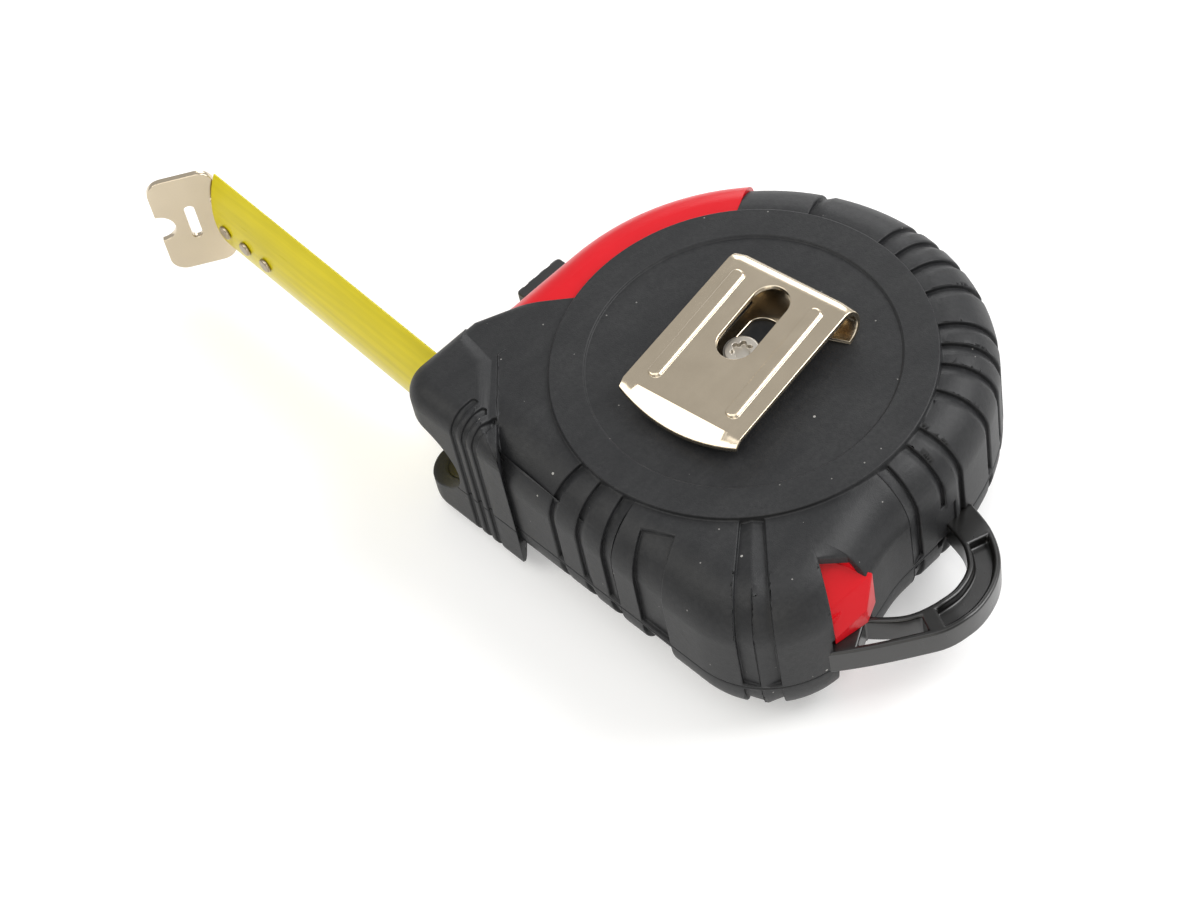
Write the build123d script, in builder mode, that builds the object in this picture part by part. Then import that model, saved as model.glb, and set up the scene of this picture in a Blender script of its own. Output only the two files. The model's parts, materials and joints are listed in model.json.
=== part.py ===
from build123d import *
import os
from math import cos, degrees, radians, sin, sqrt, tan

# Rubber-armoured pocket tape measure, lying on its front face.
# Millimetres, +Z along the reel axis, -X towards the mouth, base at -Y.

# Case as a whole
thickness = 28.0
front_depth = 10.5
base_drop = 33.2
nose_reach = 35.0
rear_reach = 32.5
top_reach = 35.6
rear_top_radius = 31.7
front_corner_radius = 16.0
toe_flare = 2.9
toe_radius = 13.8
toe_blend_angle = 14.0
toe_blend_radius = 20.0

# Walls and edges
jacket_wall = 1.4
case_wall = 1.7
back_shoulder_radius = 7.5
back_case_edge = 5.0
front_shoulder_radius = 9.0
land_inset = 0.3

# Raised ring on both faces, with a sunk disc on the back and a groove on the front
ring_radius = 27.0
ring_width = 5.0
ring_rise = 0.7
disc_sink = 0.4
face_groove_width = 0.8
face_groove_depth = 0.4

# Tread grooves, as angles about the reel axis
fine_ramp = 2.0
base_groove_angles = (-100.3, -91.5, -82.9)
rear_groove_angles = (-1.0, 7.8, 14.6, 28.7, 38.3, 45.4, 52.7)
top_groove_angles = (65.5, 75.0, 82.7, 89.7, 114.0)
wide_ramp = 2.4
wide_groove_angles = (-46.5, -39.5)
wide_groove_turn = -4.0
leaf_angle = -68.5
leaf_width = 5.0
groove_depth = 0.7
groove_cover = 5.0
groove_rise = 1.0
groove_end = 0.5
leaf_start = 3.0
groove_reach = 22.0

# Nose
nose_top = 13.4
nose_chamfer_run = 2.4
nose_chamfer_drop = 5.4
nose_ring_angle = 194.0
nose_overlap = 1.5
nose_cover = 0.8
nose_edge_radius = 1.6
nose_corner_radius = 5.0
pad_top = 19.6
pad_depth = 8.3
pad_shoulder_y = 21.0
pad_length = 21.0
pad_edge_radius = 3.6
rib_count = 3
rib_pitch = 2.1
rib_width = 1.1
rib_depth = 0.5
rib_length = 5.2
rib_setback = 11.4

# Window over the red case at the front top
window_rear_angle = 136.0
window_rear_slope = 118.0
window_reach = 30.0

# Notch for the loop at the rear bottom corner
notch_apex_x = 28.0
notch_apex_y = -16.0
notch_low_angle = -33.0
notch_high_angle = 27.0
back_notch_floor = 8.0
front_notch_floor = 5.5
notch_reach = 18.0
block_x = 27.3
block_low = 20.9
block_high = 8.0

# Tape
tape_width = 19.0
tape_thickness = 0.3
tape_curve_radius = 18.2
tape_height = 27.2
tape_lean = 2.2
tape_out = 54.5
tape_in = 3.0
tape_joint_gap = 0.2
mouth_clearance = 0.7
recess_depth = 10.5
recess_half_width = 7.5

# Hook and its rivets
hook_thickness = 1.0
hook_above_crown = 2.2
hook_height = 10.5
hook_lean = 31.0
hook_leg_bite = 1.2
hook_width = 19.5
hook_leg = 16.0
hook_leg_width = 8.0
hook_float = 1.0
hook_gap = 0.2
hook_corner_radius = 2.6
hook_notch_radius = 2.6
hook_slot_length = 7.0
hook_slot_width = 1.6
hook_slot_rise = 5.4
rivet_radius = 0.9
rivet_head_radius = 1.5
rivet_head = 0.6
rivet_dome = 0.4
rivet_pitch = 5.0
rivet_first = 2.8
rivet_count = 3
rivet_clearance = 0.08

# Reel
drum_radius = 14.0
drum_wall = 1.5
web_thickness = 1.2
coil_radius = 21.5
post_radius = 4.0
post_bore = 1.3
socket_height = 2.5
socket_wall = 1.6
post_slot_width = 0.9
post_slot_depth = 2.4
run_clearance = 0.08
seat_clearance = 0.03
hub_gap = 0.4
washer_thickness = 0.5
washer_radius = 19.0
washer_bore_gap = 0.6
spring_thickness = 0.3
spring_turns = 5
spring_gap = 0.5
lead_gap = 0.05

# Lock
lock_width = 13.0
lock_length = 8.5
lock_proud = 4.2
lock_travel = 5.0
lock_centre = -4.0
neck_width = 8.0
neck_length = 6.0
tail_thickness = 2.0
tail_width = 10.0
tail_gap = 0.8
arm_y = -20.4
arm_end_x = -16.0
brake_length = 4.0
brake_thickness = 0.8
lock_gap = 0.35
lock_edge_radius = 1.2
ridge_count = 3
ridge_pitch = 2.2
ridge_width = 0.8
ridge_depth = 0.5

# Belt clip and its screw
clip_width = 20.0
clip_length = 28.6
clip_thickness = 0.7
clip_shift = 1.1
clip_fall = 1.0
clip_gap = 4.2
clip_lean = 7.2
clip_rear_y = 12.6
clip_inner_leg = 18.0
clip_lip = 2.6
clip_lip_drop = 1.3
clip_window_width = 5.6
clip_window_length = 13.0
clip_window_y = 2.6
clip_key_width = 3.4
clip_key_length = 7.0
clip_rib_width = 1.6
clip_rib_length = 20.0
clip_rib_rise = 0.5
clip_rib_inset = 3.4
clip_rib_y = -1.4
screw_radius = 1.5
screw_head_radius = 2.6
screw_head = 1.4
screw_head_edge = 0.4
star_radius = 1.15
star_lobe = 0.42
star_depth = 0.8
screw_bite = 7.0
screw_clearance = 0.2
cross_width = 0.8
cross_length = 3.0
cross_depth = 0.9

# Case screws, driven from the front face
boss_radius = 2.8
boss_places = ((-24.2, 18.8), (21.4, 20.9), (26.6, -12.2), (-25.0, -12.5))
case_screw_radius = 1.25
case_screw_head_radius = 2.2
case_screw_head = 1.5
case_screw_bite = 7.0
case_screw_clearance = 0.15
case_screw_floor = 6.5

# Wrist loop
loop_level = 13.0
loop_height = 6.5
loop_clearance = 0.1
loop_rail = 1.1
loop_pocket_depth = 1.6
loop_pocket_start = -10.2
loop_points = (
    (29.6, -17.9),
    (35.8, -21.6),
    (43.4, -12.4),
    (46.4, -6.0),
    (44.6, 2.4),
    (38.5, 5.2),
    (30.6, 6.4),
    (30.6, 2.8),
    (37.2, 1.4),
    (40.6, -1.0),
    (41.0, -6.2),
    (38.2, -11.6),
    (33.4, -15.4),
    (29.6, -15.4),
)
loop_radii = (0.4, 1.6, 5.0, 5.0, 5.0, 4.0, 0.4, 0.4, 2.0, 3.0, 4.0, 2.0, 1.0, 0.4)
loop_window = ((33.8, -17.3), (36.0, -18.9), (40.2, -13.4), (38.1, -13.0))
loop_window_radius = 0.5

# Levels along the reel axis
seam_z = front_depth
back_depth = thickness - front_depth
mid_z = thickness / 2
shoulder_z = thickness - ring_rise
case_top_z = shoulder_z - jacket_wall
inner_top_z = case_top_z - case_wall
inner_bottom_z = thickness - inner_top_z
disc_z = thickness - disc_sink
seam = Plane.XY.offset(seam_z)
middle = Plane.XY.offset(mid_z)
loop_plane = Plane.XY.offset(loop_level)

# Places along the case
toe_reach = rear_reach + toe_flare
front_top_radius = nose_reach + rear_reach - rear_top_radius
pad_shoulder_x = pad_depth - nose_reach
pad_toe_x = pad_length - nose_reach
rib_first_x = rib_setback - nose_reach

# Places along the tape
nose_front = nose_reach + ring_rise
tape_end_x = -nose_front - tape_out
tape_tail_x = -nose_front + tape_in
tape_half_angle = tape_width / 2 / tape_curve_radius
tape_half_chord = tape_curve_radius * sin(tape_half_angle)
tape_hollow = tape_curve_radius * (1 - cos(tape_half_angle))
tape_axis_y = tape_curve_radius - tape_height


def inside_tape_y(half_width):
    """Y of the tape's hollow side at a distance from its middle line."""
    radius = tape_curve_radius - tape_thickness
    return tape_axis_y - sqrt(radius**2 - half_width**2)


def polar(radius, angle):
    """Point at a radius and an angle in degrees about the reel axis."""
    return (radius * cos(radians(angle)), radius * sin(radians(angle)))


# Upper edge of the nose, from its tip to where it runs in under the raised ring
nose_tip = Vector(nose_chamfer_run - nose_reach, -nose_top)
nose_meet = Vector(*polar(ring_radius, nose_ring_angle))
nose_slope = (nose_tip - nose_meet).normalized()
nose_heel = nose_meet - nose_slope * nose_overlap
nose_inward = Vector(-nose_slope.Y, nose_slope.X)


def wall_distance(start, heading):
    """Distance from a point to the outline of the case along a heading in degrees."""
    along = Vector(*polar(1, heading))
    if heading < -70:
        return (start.Y + base_drop) / -along.Y
    if -20 < heading < 5:
        return (rear_reach - start.X) / along.X
    centre = Vector(rear_reach - rear_top_radius, top_reach - rear_top_radius)
    radius = rear_top_radius
    if heading < -20:
        centre = Vector(toe_reach - toe_radius, toe_radius - base_drop)
        radius = toe_radius
    elif heading > 90:
        centre = Vector(rear_reach - rear_top_radius, top_reach - front_top_radius)
        radius = front_top_radius
    gap = start - centre
    forward = gap.dot(along)
    return sqrt(forward**2 - gap.dot(gap) + radius**2) - forward


def case_plan(inset):
    """Outline of the case along the reel axis, moved inwards, without the nose corner."""
    turn = radians(toe_blend_angle)
    toe_x = toe_reach - toe_radius
    blend_x = rear_reach + toe_blend_radius * (1 - cos(turn))
    rear_top_y = top_reach - rear_top_radius
    with BuildSketch() as plan:
        with BuildLine():
            base = Line((front_corner_radius - nose_reach, -base_drop), (toe_x, -base_drop))
            toe = JernArc(base @ 1, (1, 0), toe_radius, 90 + toe_blend_angle)
            heel_rise = ((toe @ 1).X - blend_x) / tan(turn)
            heel = Line(toe @ 1, (blend_x, (toe @ 1).Y + heel_rise))
            blend = JernArc(heel @ 1, heel % 1, toe_blend_radius, -toe_blend_angle)
            rear = Line(blend @ 1, (rear_reach, rear_top_y))
            rear_top = JernArc(rear @ 1, (0, 1), rear_top_radius, 90)
            front_top = JernArc(rear_top @ 1, (-1, 0), front_top_radius, 90)
            front = Line(front_top @ 1, (-nose_reach, front_corner_radius - base_drop))
            JernArc(front @ 1, (0, -1), front_corner_radius, 90)
        make_face()
        if inset > 0:
            offset(amount=-inset)
    return plan.sketch


def nose_plan(inset):
    """Outline of the nose block, moved inwards; its root stays under the raised pad."""
    front_x = inset - nose_reach
    base_y = inset - base_drop
    cover = nose_cover + inset
    with BuildSketch() as plan:
        with BuildLine():
            Polyline(
                nose_tip + nose_inward * inset,
                (front_x, -nose_top - nose_chamfer_drop),
                (front_x, base_y),
                (pad_toe_x - cover, base_y),
                (pad_shoulder_x - cover, -pad_shoulder_y),
                nose_heel + nose_inward * inset,
                close=True,
            )
        make_face()
        corner = plan.vertices().sort_by_distance((front_x, base_y))[0]
        fillet(corner, nose_corner_radius - inset)
    return plan.sketch


def pad_plan(inset):
    """Outline of the raised pad that wraps the nose, moved inwards."""
    front_x = -nose_front
    base_y = -base_drop - ring_rise
    with BuildSketch() as plan:
        with BuildLine():
            Polyline(
                (front_x, -pad_top),
                (front_x, base_y),
                (pad_toe_x, base_y),
                (pad_shoulder_x, -pad_shoulder_y),
                close=True,
            )
        make_face()
        corner = plan.vertices().sort_by_distance((front_x, base_y))[0]
        fillet(corner, nose_corner_radius)
        if inset > 0:
            offset(amount=-inset)
    return plan.sketch


def wedge_plan():
    """Wedge of the notch where the loop leaves the case."""
    with BuildSketch() as plan:
        with BuildLine():
            apex = (notch_apex_x, notch_apex_y)
            low = Line(apex, Vector(apex) + Vector(*polar(notch_reach, notch_low_angle)))
            high = Line(apex, Vector(apex) + Vector(*polar(notch_reach, notch_high_angle)))
            Line(low @ 1, high @ 1)
        make_face()
    return plan.sketch


def window_plan():
    """Opening of the jacket over the red case at the front top."""
    rear_point = Vector(*polar(ring_radius, window_rear_angle))
    with BuildSketch() as plan:
        with BuildLine():
            Polyline(
                rear_point,
                rear_point + Vector(*polar(window_reach, window_rear_slope)),
                (-nose_reach - window_reach, top_reach + window_reach),
                nose_meet + nose_slope * 2 * window_reach,
                nose_heel,
                close=True,
            )
        make_face()
        Circle(ring_radius, mode=Mode.SUBTRACT)
    return plan.sketch


def leaf_plan():
    """Bar of the sunk leaf on the base."""
    with BuildSketch() as plan:
        with Locations(Location((*polar(ring_radius + leaf_start, leaf_angle), 0), (0, 0, leaf_angle))):
            Rectangle(groove_reach, leaf_width, align=(Align.MIN, Align.CENTER))
    return plan.sketch


def rib_plan():
    """Bars of the grip ribs across the base edge of the nose."""
    with BuildSketch() as plan:
        for rib in range(rib_count):
            with Locations((rib_first_x + rib * rib_pitch, -base_drop - ring_rise + rib_length - groove_reach / 2)):
                SlotOverall(groove_reach, rib_width, rotation=90)
    return plan.sketch


def loop_plan(growth):
    """Outline of the wrist loop from its lower tang round to its upper one."""
    with BuildSketch() as plan:
        with BuildLine():
            FilletPolyline(*loop_points, radius=list(loop_radii), close=True)
        make_face()
        if growth > 0:
            offset(amount=growth)
    return plan.sketch


def tape_section():
    """Curved cross-section of the tape, square to its run."""
    half_degrees = degrees(tape_half_angle)
    with BuildSketch() as section:
        with BuildLine():
            outer = CenterArc((tape_axis_y, 0), tape_curve_radius, 180 - half_degrees, 2 * half_degrees)
            inner = CenterArc(
                (tape_axis_y, 0), tape_curve_radius - tape_thickness, 180 - half_degrees, 2 * half_degrees
            )
            Line(outer @ 0, inner @ 0)
            Line(outer @ 1, inner @ 1)
        make_face()
    return section.sketch


outer_outline = case_plan(0)
case_outline = case_plan(jacket_wall)
cavity_outline = case_plan(jacket_wall + case_wall)
groove_floor_outline = case_plan(groove_depth)
land_outline = case_plan(land_inset)
nose_outline = nose_plan(0)
nose_case_outline = nose_plan(jacket_wall)
nose_cavity_outline = nose_plan(jacket_wall + case_wall)
pad_outline = pad_plan(0)
rib_floor_outline = pad_plan(rib_depth)
wedge_outline = wedge_plan()
window_outline = window_plan()
leaf_outline = leaf_plan()
rib_outline = rib_plan()
loop_outline = loop_plan(0)
loop_socket_outline = loop_plan(loop_clearance)
tape_profile = tape_section()


def half_core(depth, edge_radius, notch_floor):
    """Outside of one red case half, as a solid above the seam."""
    with BuildPart() as land:
        with BuildSketch(seam):
            add(land_outline)
        extrude(amount=depth - ring_rise - land_inset)
        fillet(land.faces().sort_by(Axis.Z)[-1].edges(), edge_radius)
        with BuildSketch(seam):
            add(window_outline)
        extrude(amount=depth, mode=Mode.INTERSECT)
    with BuildPart() as core:
        with BuildSketch(seam):
            add(case_outline)
        extrude(amount=depth - ring_rise - jacket_wall)
        fillet(core.faces().sort_by(Axis.Z)[-1].edges(), edge_radius)
        with BuildSketch(seam):
            add(nose_case_outline)
        extrude(amount=depth - ring_rise - jacket_wall)
        add(land.part)
        with BuildSketch(seam.offset(notch_floor)):
            add(wedge_outline)
        extrude(amount=thickness, mode=Mode.SUBTRACT)
    return core.part


def half_cavity(depth, edge_radius):
    """Hollow of one case half above the seam, round the screw bosses and the loop's block."""
    with BuildPart() as cavity:
        with BuildSketch(seam):
            add(cavity_outline)
        extrude(amount=depth - ring_rise - jacket_wall - case_wall)
        fillet(cavity.faces().sort_by(Axis.Z)[-1].edges(), edge_radius)
        with BuildSketch(seam):
            add(nose_cavity_outline)
        extrude(amount=depth - ring_rise - jacket_wall - case_wall)
        with BuildSketch(seam):
            with Locations((block_x, -block_low)):
                Rectangle(toe_reach, block_low - block_high, align=Align.MIN)
            with Locations(*boss_places):
                Circle(boss_radius)
        extrude(amount=thickness, mode=Mode.SUBTRACT)
    return cavity.part


def tread_cutter(depth, shoulder_radius, angle, turn, ramp):
    """Cutter of one tread: a sharp step with a ramp beside it, bent over the shoulder."""
    level = seam_z + depth - ring_rise
    heading = angle + turn
    start = Vector(*polar(ring_radius - groove_cover, angle))
    along = Vector(*polar(1, heading))
    across = Vector(-along.Y, along.X)
    reach = wall_distance(start, heading)
    with BuildPart() as cutter:
        with BuildLine(Plane(start, x_dir=along, z_dir=-across)):
            FilletPolyline((0, level), (reach, level), (reach, seam_z + groove_end), radius=shoulder_radius)
        with BuildSketch(Plane(start + Vector(0, 0, level), x_dir=across, z_dir=along)):
            with BuildLine():
                Polyline((0, groove_rise), (0, -groove_depth), (ramp, 0), (ramp, groove_rise), close=True)
            make_face()
        sweep()
    return cutter.part


def nose_block(depth):
    """Nose of one half above the seam, with its raised pad and three grip ribs."""
    with BuildPart() as rib_floor:
        with BuildSketch(seam):
            add(rib_floor_outline)
        extrude(amount=depth - rib_depth)
        fillet(rib_floor.faces().sort_by(Axis.Z)[-1].edges(), pad_edge_radius - rib_depth)
    with BuildPart() as ribs:
        with BuildSketch(seam):
            add(rib_outline)
        extrude(amount=depth)
        add(rib_floor.part, mode=Mode.SUBTRACT)
    with BuildPart() as nose_pad:
        with BuildSketch(seam):
            add(pad_outline)
        extrude(amount=depth)
        fillet(nose_pad.faces().sort_by(Axis.Z)[-1].edges(), pad_edge_radius)
        add(ribs.part, mode=Mode.SUBTRACT)
    with BuildPart() as nose:
        with BuildSketch(seam):
            add(nose_outline)
        extrude(amount=depth - ring_rise)
        rim = nose.faces().sort_by(Axis.Z)[-1].edges()
        front_rim = rim.filter_by_position(Axis.X, -nose_reach - 1, nose_corner_radius - nose_reach)
        fillet(front_rim, nose_edge_radius)
        add(ribs.part, mode=Mode.SUBTRACT)
        add(nose_pad.part)
    return nose.part


def half_jacket(depth, shoulder_radius, core, nose, cutters):
    """Rubber armour of one half above the seam, before its openings."""
    with BuildPart() as floor:
        with BuildSketch(seam):
            add(groove_floor_outline)
        extrude(amount=depth - ring_rise - groove_depth)
        fillet(floor.faces().sort_by(Axis.Z)[-1].edges(), shoulder_radius - groove_depth)
    with BuildPart() as leaf:
        with BuildSketch(seam.offset(groove_end)):
            add(leaf_outline)
        extrude(amount=depth)
        add(floor.part, mode=Mode.SUBTRACT)
    with BuildPart() as jacket:
        with BuildSketch(seam):
            add(outer_outline)
        extrude(amount=depth - ring_rise)
        fillet(jacket.faces().sort_by(Axis.Z)[-1].edges(), shoulder_radius)
        add(leaf.part, mode=Mode.SUBTRACT)
        add(cutters, mode=Mode.SUBTRACT)
        add(nose)
        with BuildSketch(seam.offset(depth)):
            Circle(ring_radius)
        extrude(amount=-ring_rise - jacket_wall)
        with BuildSketch(seam):
            add(window_outline)
            add(wedge_outline)
        extrude(amount=thickness, mode=Mode.SUBTRACT)
        add(core, mode=Mode.SUBTRACT)
    return jacket.part


# Space that the tape runs through in the nose, with the hook's recess in the base
with BuildPart() as mouth:
    with BuildSketch(Plane.YZ.offset(-nose_front - pad_edge_radius)):
        with Locations((-tape_height - mouth_clearance, mid_z)):
            Rectangle(
                tape_hollow + tape_thickness + 2 * mouth_clearance,
                2 * (tape_half_chord + mouth_clearance),
                align=(Align.MIN, Align.CENTER),
            )
    extrude(amount=recess_depth)
    with BuildSketch(Plane.XZ.offset(tape_height)):
        with Locations((-nose_front, mid_z)):
            Ellipse(recess_depth, recess_half_width)
    extrude(amount=base_drop)

# Space that the loop's tangs sit in
with BuildPart() as loop_socket:
    with BuildSketch(loop_plane.offset(-loop_height / 2 - loop_clearance)):
        add(loop_socket_outline)
    extrude(amount=loop_height + 2 * loop_clearance)

# Space that the lock's neck slides in
with BuildPart() as lock_slot:
    with BuildSketch(Plane.YZ.offset(-nose_front)):
        with Locations((lock_centre - neck_length / 2 - lock_gap, mid_z)):
            Rectangle(
                neck_length + lock_travel + 2 * lock_gap,
                neck_width + 2 * lock_gap,
                align=(Align.MIN, Align.CENTER),
            )
    extrude(amount=nose_edge_radius + jacket_wall + case_wall + lock_gap)

# Treads as an angle, a turn from the radial line and a ramp, whose sign gives its side
treads = [(angle, 0, fine_ramp) for angle in base_groove_angles]
treads += [(angle, 0, -fine_ramp) for angle in rear_groove_angles + top_groove_angles]
treads += [(wide_groove_angles[0], wide_groove_turn, wide_ramp), (wide_groove_angles[1], wide_groove_turn, -wide_ramp)]
back_cutters = [tread_cutter(back_depth, back_shoulder_radius, *tread) for tread in treads]
front_cutters = [tread_cutter(front_depth, front_shoulder_radius, *tread) for tread in treads]
front_case_edge = front_shoulder_radius - jacket_wall
back_nose = nose_block(back_depth)
front_nose = nose_block(front_depth)
back_core = half_core(back_depth, back_case_edge, back_notch_floor)
back_hollow = half_cavity(back_depth, back_case_edge - case_wall)
back_form = half_jacket(back_depth, back_shoulder_radius, back_core, back_nose, back_cutters)
front_core = half_core(front_depth, front_case_edge, front_notch_floor)
front_hollow = half_cavity(front_depth, front_case_edge - case_wall)
front_form = half_jacket(front_depth, front_shoulder_radius, front_core, front_nose, front_cutters)
lower_core = mirror(front_core, about=seam)
lower_hollow = mirror(front_hollow, about=seam)
lower_form = mirror(front_form, about=seam)
socket_radius = post_radius + seat_clearance

with BuildPart() as back_case:
    add(back_core)
    add(loop_socket.part, mode=Mode.SUBTRACT)
    add(back_hollow, mode=Mode.SUBTRACT)
    with BuildSketch(Plane.XY.offset(inner_top_z)):
        Circle(socket_radius + socket_wall)
        Circle(socket_radius, mode=Mode.SUBTRACT)
    extrude(amount=-socket_height)
    with BuildSketch(seam):
        with Locations(*boss_places):
            Circle(case_screw_radius + seat_clearance)
    extrude(amount=case_screw_bite, mode=Mode.SUBTRACT)
    with BuildSketch(Plane.XY.offset(inner_top_z)):
        Circle(screw_radius + screw_clearance)
    extrude(amount=thickness, mode=Mode.SUBTRACT)
    add(mouth.part, mode=Mode.SUBTRACT)
    add(lock_slot.part, mode=Mode.SUBTRACT)

with BuildPart() as front_case:
    add(lower_core)
    add(loop_socket.part, mode=Mode.SUBTRACT)
    add(lower_hollow, mode=Mode.SUBTRACT)
    with BuildSketch(Plane.XY.offset(inner_bottom_z)):
        Circle(socket_radius + socket_wall)
        Circle(socket_radius, mode=Mode.SUBTRACT)
    extrude(amount=socket_height)
    with BuildSketch(seam):
        with Locations(*boss_places):
            Circle(case_screw_radius + case_screw_clearance)
    extrude(amount=-seam_z, mode=Mode.SUBTRACT)
    with BuildSketch(Plane.XY.offset(case_screw_floor)):
        with Locations(*boss_places):
            Circle(case_screw_head_radius + case_screw_clearance)
    extrude(amount=-thickness, mode=Mode.SUBTRACT)
    add(mouth.part, mode=Mode.SUBTRACT)
    add(lock_slot.part, mode=Mode.SUBTRACT)

with BuildPart() as back_jacket:
    add(back_form)
    with BuildSketch(Plane.XY.offset(thickness)):
        Circle(ring_radius - ring_width)
    extrude(amount=-disc_sink, mode=Mode.SUBTRACT)
    with BuildSketch(Plane.XY.offset(case_top_z)):
        Circle(screw_radius + screw_clearance)
    extrude(amount=thickness, mode=Mode.SUBTRACT)
    add(mouth.part, mode=Mode.SUBTRACT)
    add(loop_socket.part, mode=Mode.SUBTRACT)

with BuildPart() as front_jacket:
    add(lower_form)
    with BuildSketch():
        Circle(ring_radius - ring_width)
        Circle(ring_radius - ring_width - face_groove_width, mode=Mode.SUBTRACT)
    extrude(amount=face_groove_depth, mode=Mode.SUBTRACT)
    with BuildSketch(Plane.XY.offset(case_screw_floor)):
        with Locations(*boss_places):
            Circle(case_screw_head_radius + case_screw_clearance)
    extrude(amount=-thickness, mode=Mode.SUBTRACT)
    add(mouth.part, mode=Mode.SUBTRACT)
    add(loop_socket.part, mode=Mode.SUBTRACT)

with BuildPart() as case_screws:
    with BuildSketch(Plane.XY.offset(case_screw_floor)):
        with Locations(*boss_places):
            Circle(case_screw_radius)
    extrude(amount=seam_z + case_screw_bite - case_screw_floor)
    with BuildSketch(Plane.XY.offset(case_screw_floor)):
        with Locations(*boss_places):
            Circle(case_screw_head_radius)
    extrude(amount=-case_screw_head)
    with BuildSketch(Plane.XY.offset(case_screw_floor - case_screw_head)):
        with Locations(*boss_places):
            Rectangle(cross_width, cross_length)
            Rectangle(cross_length, cross_width)
    extrude(amount=cross_depth, mode=Mode.SUBTRACT)

# Reel: levels of the two plates that shut the spring in
web_z = inner_bottom_z + socket_height + hub_gap
cover_z = inner_top_z - socket_height - hub_gap - web_thickness
hub_radius = post_radius + run_clearance
tape_bottom_z = mid_z - tape_width / 2

with BuildPart() as centre_post:
    with BuildSketch(Plane.XY.offset(inner_bottom_z)):
        Circle(post_radius)
    extrude(amount=inner_top_z - inner_bottom_z)
    with BuildSketch(Plane.XY.offset(web_z + web_thickness)):
        with Locations((post_radius - post_slot_depth, 0)):
            Rectangle(post_radius, post_slot_width, align=(Align.MIN, Align.CENTER))
    extrude(amount=cover_z - web_z - web_thickness, mode=Mode.SUBTRACT)
    with BuildSketch(Plane.XY.offset(inner_top_z)):
        Circle(post_bore)
    extrude(amount=-screw_bite - screw_clearance, mode=Mode.SUBTRACT)

with BuildPart() as reel_drum:
    with BuildSketch(Plane.XY.offset(tape_bottom_z)):
        Circle(drum_radius)
        Circle(drum_radius - drum_wall, mode=Mode.SUBTRACT)
    extrude(amount=tape_width)
    with BuildSketch(Plane.XY.offset(web_z)):
        Circle(drum_radius - drum_wall)
        Circle(hub_radius, mode=Mode.SUBTRACT)
    extrude(amount=web_thickness)

with BuildPart() as reel_cover:
    with BuildSketch(Plane.XY.offset(cover_z)):
        Circle(drum_radius - drum_wall - seat_clearance)
        Circle(hub_radius, mode=Mode.SUBTRACT)
    extrude(amount=web_thickness)

with BuildPart() as reel_washers:
    for level in (inner_bottom_z, inner_top_z - washer_thickness):
        with BuildSketch(Plane.XY.offset(level)):
            Circle(washer_radius)
            Circle(socket_radius + socket_wall + washer_bore_gap, mode=Mode.SUBTRACT)
        extrude(amount=washer_thickness)

# Flat spiral of half turns about two centres, with its inner end in the post's slot
spring_start = post_radius + spring_gap + spring_thickness / 2
spring_end = drum_radius - drum_wall - spring_gap - spring_thickness / 2
spring_pitch = (spring_end - spring_start) / spring_turns

with BuildPart() as power_spring:
    with BuildSketch(Plane.XY.offset(web_z + web_thickness + hub_gap)):
        with BuildLine():
            for side in (-1, 1):
                for half in range(2 * spring_turns):
                    CenterArc(
                        ((-1) ** (half + 1) * spring_pitch / 4, 0),
                        spring_start + (2 * half + 1) * spring_pitch / 4 + side * spring_thickness / 2,
                        180 * (half % 2),
                        180,
                    )
            for reach in (spring_start, spring_end):
                Line((reach - spring_thickness / 2, 0), (reach + spring_thickness / 2, 0))
        make_face()
        with Locations((post_radius - post_slot_depth + spring_gap, 0)):
            Rectangle(
                spring_start + spring_thickness / 2 - post_radius + post_slot_depth - spring_gap,
                spring_thickness,
                align=(Align.MIN, Align.MAX),
            )
    extrude(amount=cover_z - web_z - web_thickness - 2 * hub_gap)

with BuildPart() as tape_coil:
    with BuildSketch(Plane.XY.offset(tape_bottom_z)):
        Circle(coil_radius)
        Circle(drum_radius + seat_clearance, mode=Mode.SUBTRACT)
    extrude(amount=tape_width)

rivet_spots = [(tape_end_x + rivet_first + rivet_pitch * number, mid_z) for number in range(rivet_count)]
leg_y = inside_tape_y(hook_leg_width / 2) + rivet_clearance

with BuildPart() as straight_blade:
    with BuildSketch(Plane.YZ.offset(tape_end_x)):
        with Locations((0, mid_z)):
            add(tape_profile)
    extrude(amount=tape_tail_x - tape_end_x)
    with BuildSketch(Plane.XZ.offset(-tape_axis_y)):
        with Locations(*rivet_spots):
            Circle(rivet_radius)
    extrude(amount=tape_curve_radius + tape_height, mode=Mode.SUBTRACT)

with BuildPart() as tape_lead:
    with BuildSketch(Plane.YZ.offset(tape_tail_x + tape_joint_gap)):
        with Locations((0, mid_z)):
            add(tape_profile)
    with BuildSketch(Plane.YZ):
        with Locations((-coil_radius - lead_gap, mid_z)):
            Rectangle(tape_thickness, tape_width, align=(Align.MAX, Align.CENTER))
    loft(ruled=True)

with BuildPart() as straight_rivets:
    with BuildSketch(Plane.XZ.offset(tape_height)):
        with Locations(*rivet_spots):
            Circle(rivet_head_radius)
    extrude(amount=rivet_head)
    with BuildSketch(Plane.XZ.offset(tape_height)):
        with Locations(*rivet_spots):
            Circle(rivet_radius)
    extrude(amount=-(leg_y + hook_thickness + rivet_clearance + tape_height))
    with BuildSketch(Plane.XZ.offset(-leg_y - hook_thickness - rivet_clearance)):
        with Locations(*rivet_spots):
            Circle(rivet_head_radius)
    extrude(amount=-rivet_head)
    for heads in (straight_rivets.faces().sort_by(Axis.Y)[:rivet_count], straight_rivets.faces().sort_by(Axis.Y)[-rivet_count:]):
        fillet(heads.edges(), rivet_dome)

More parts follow.
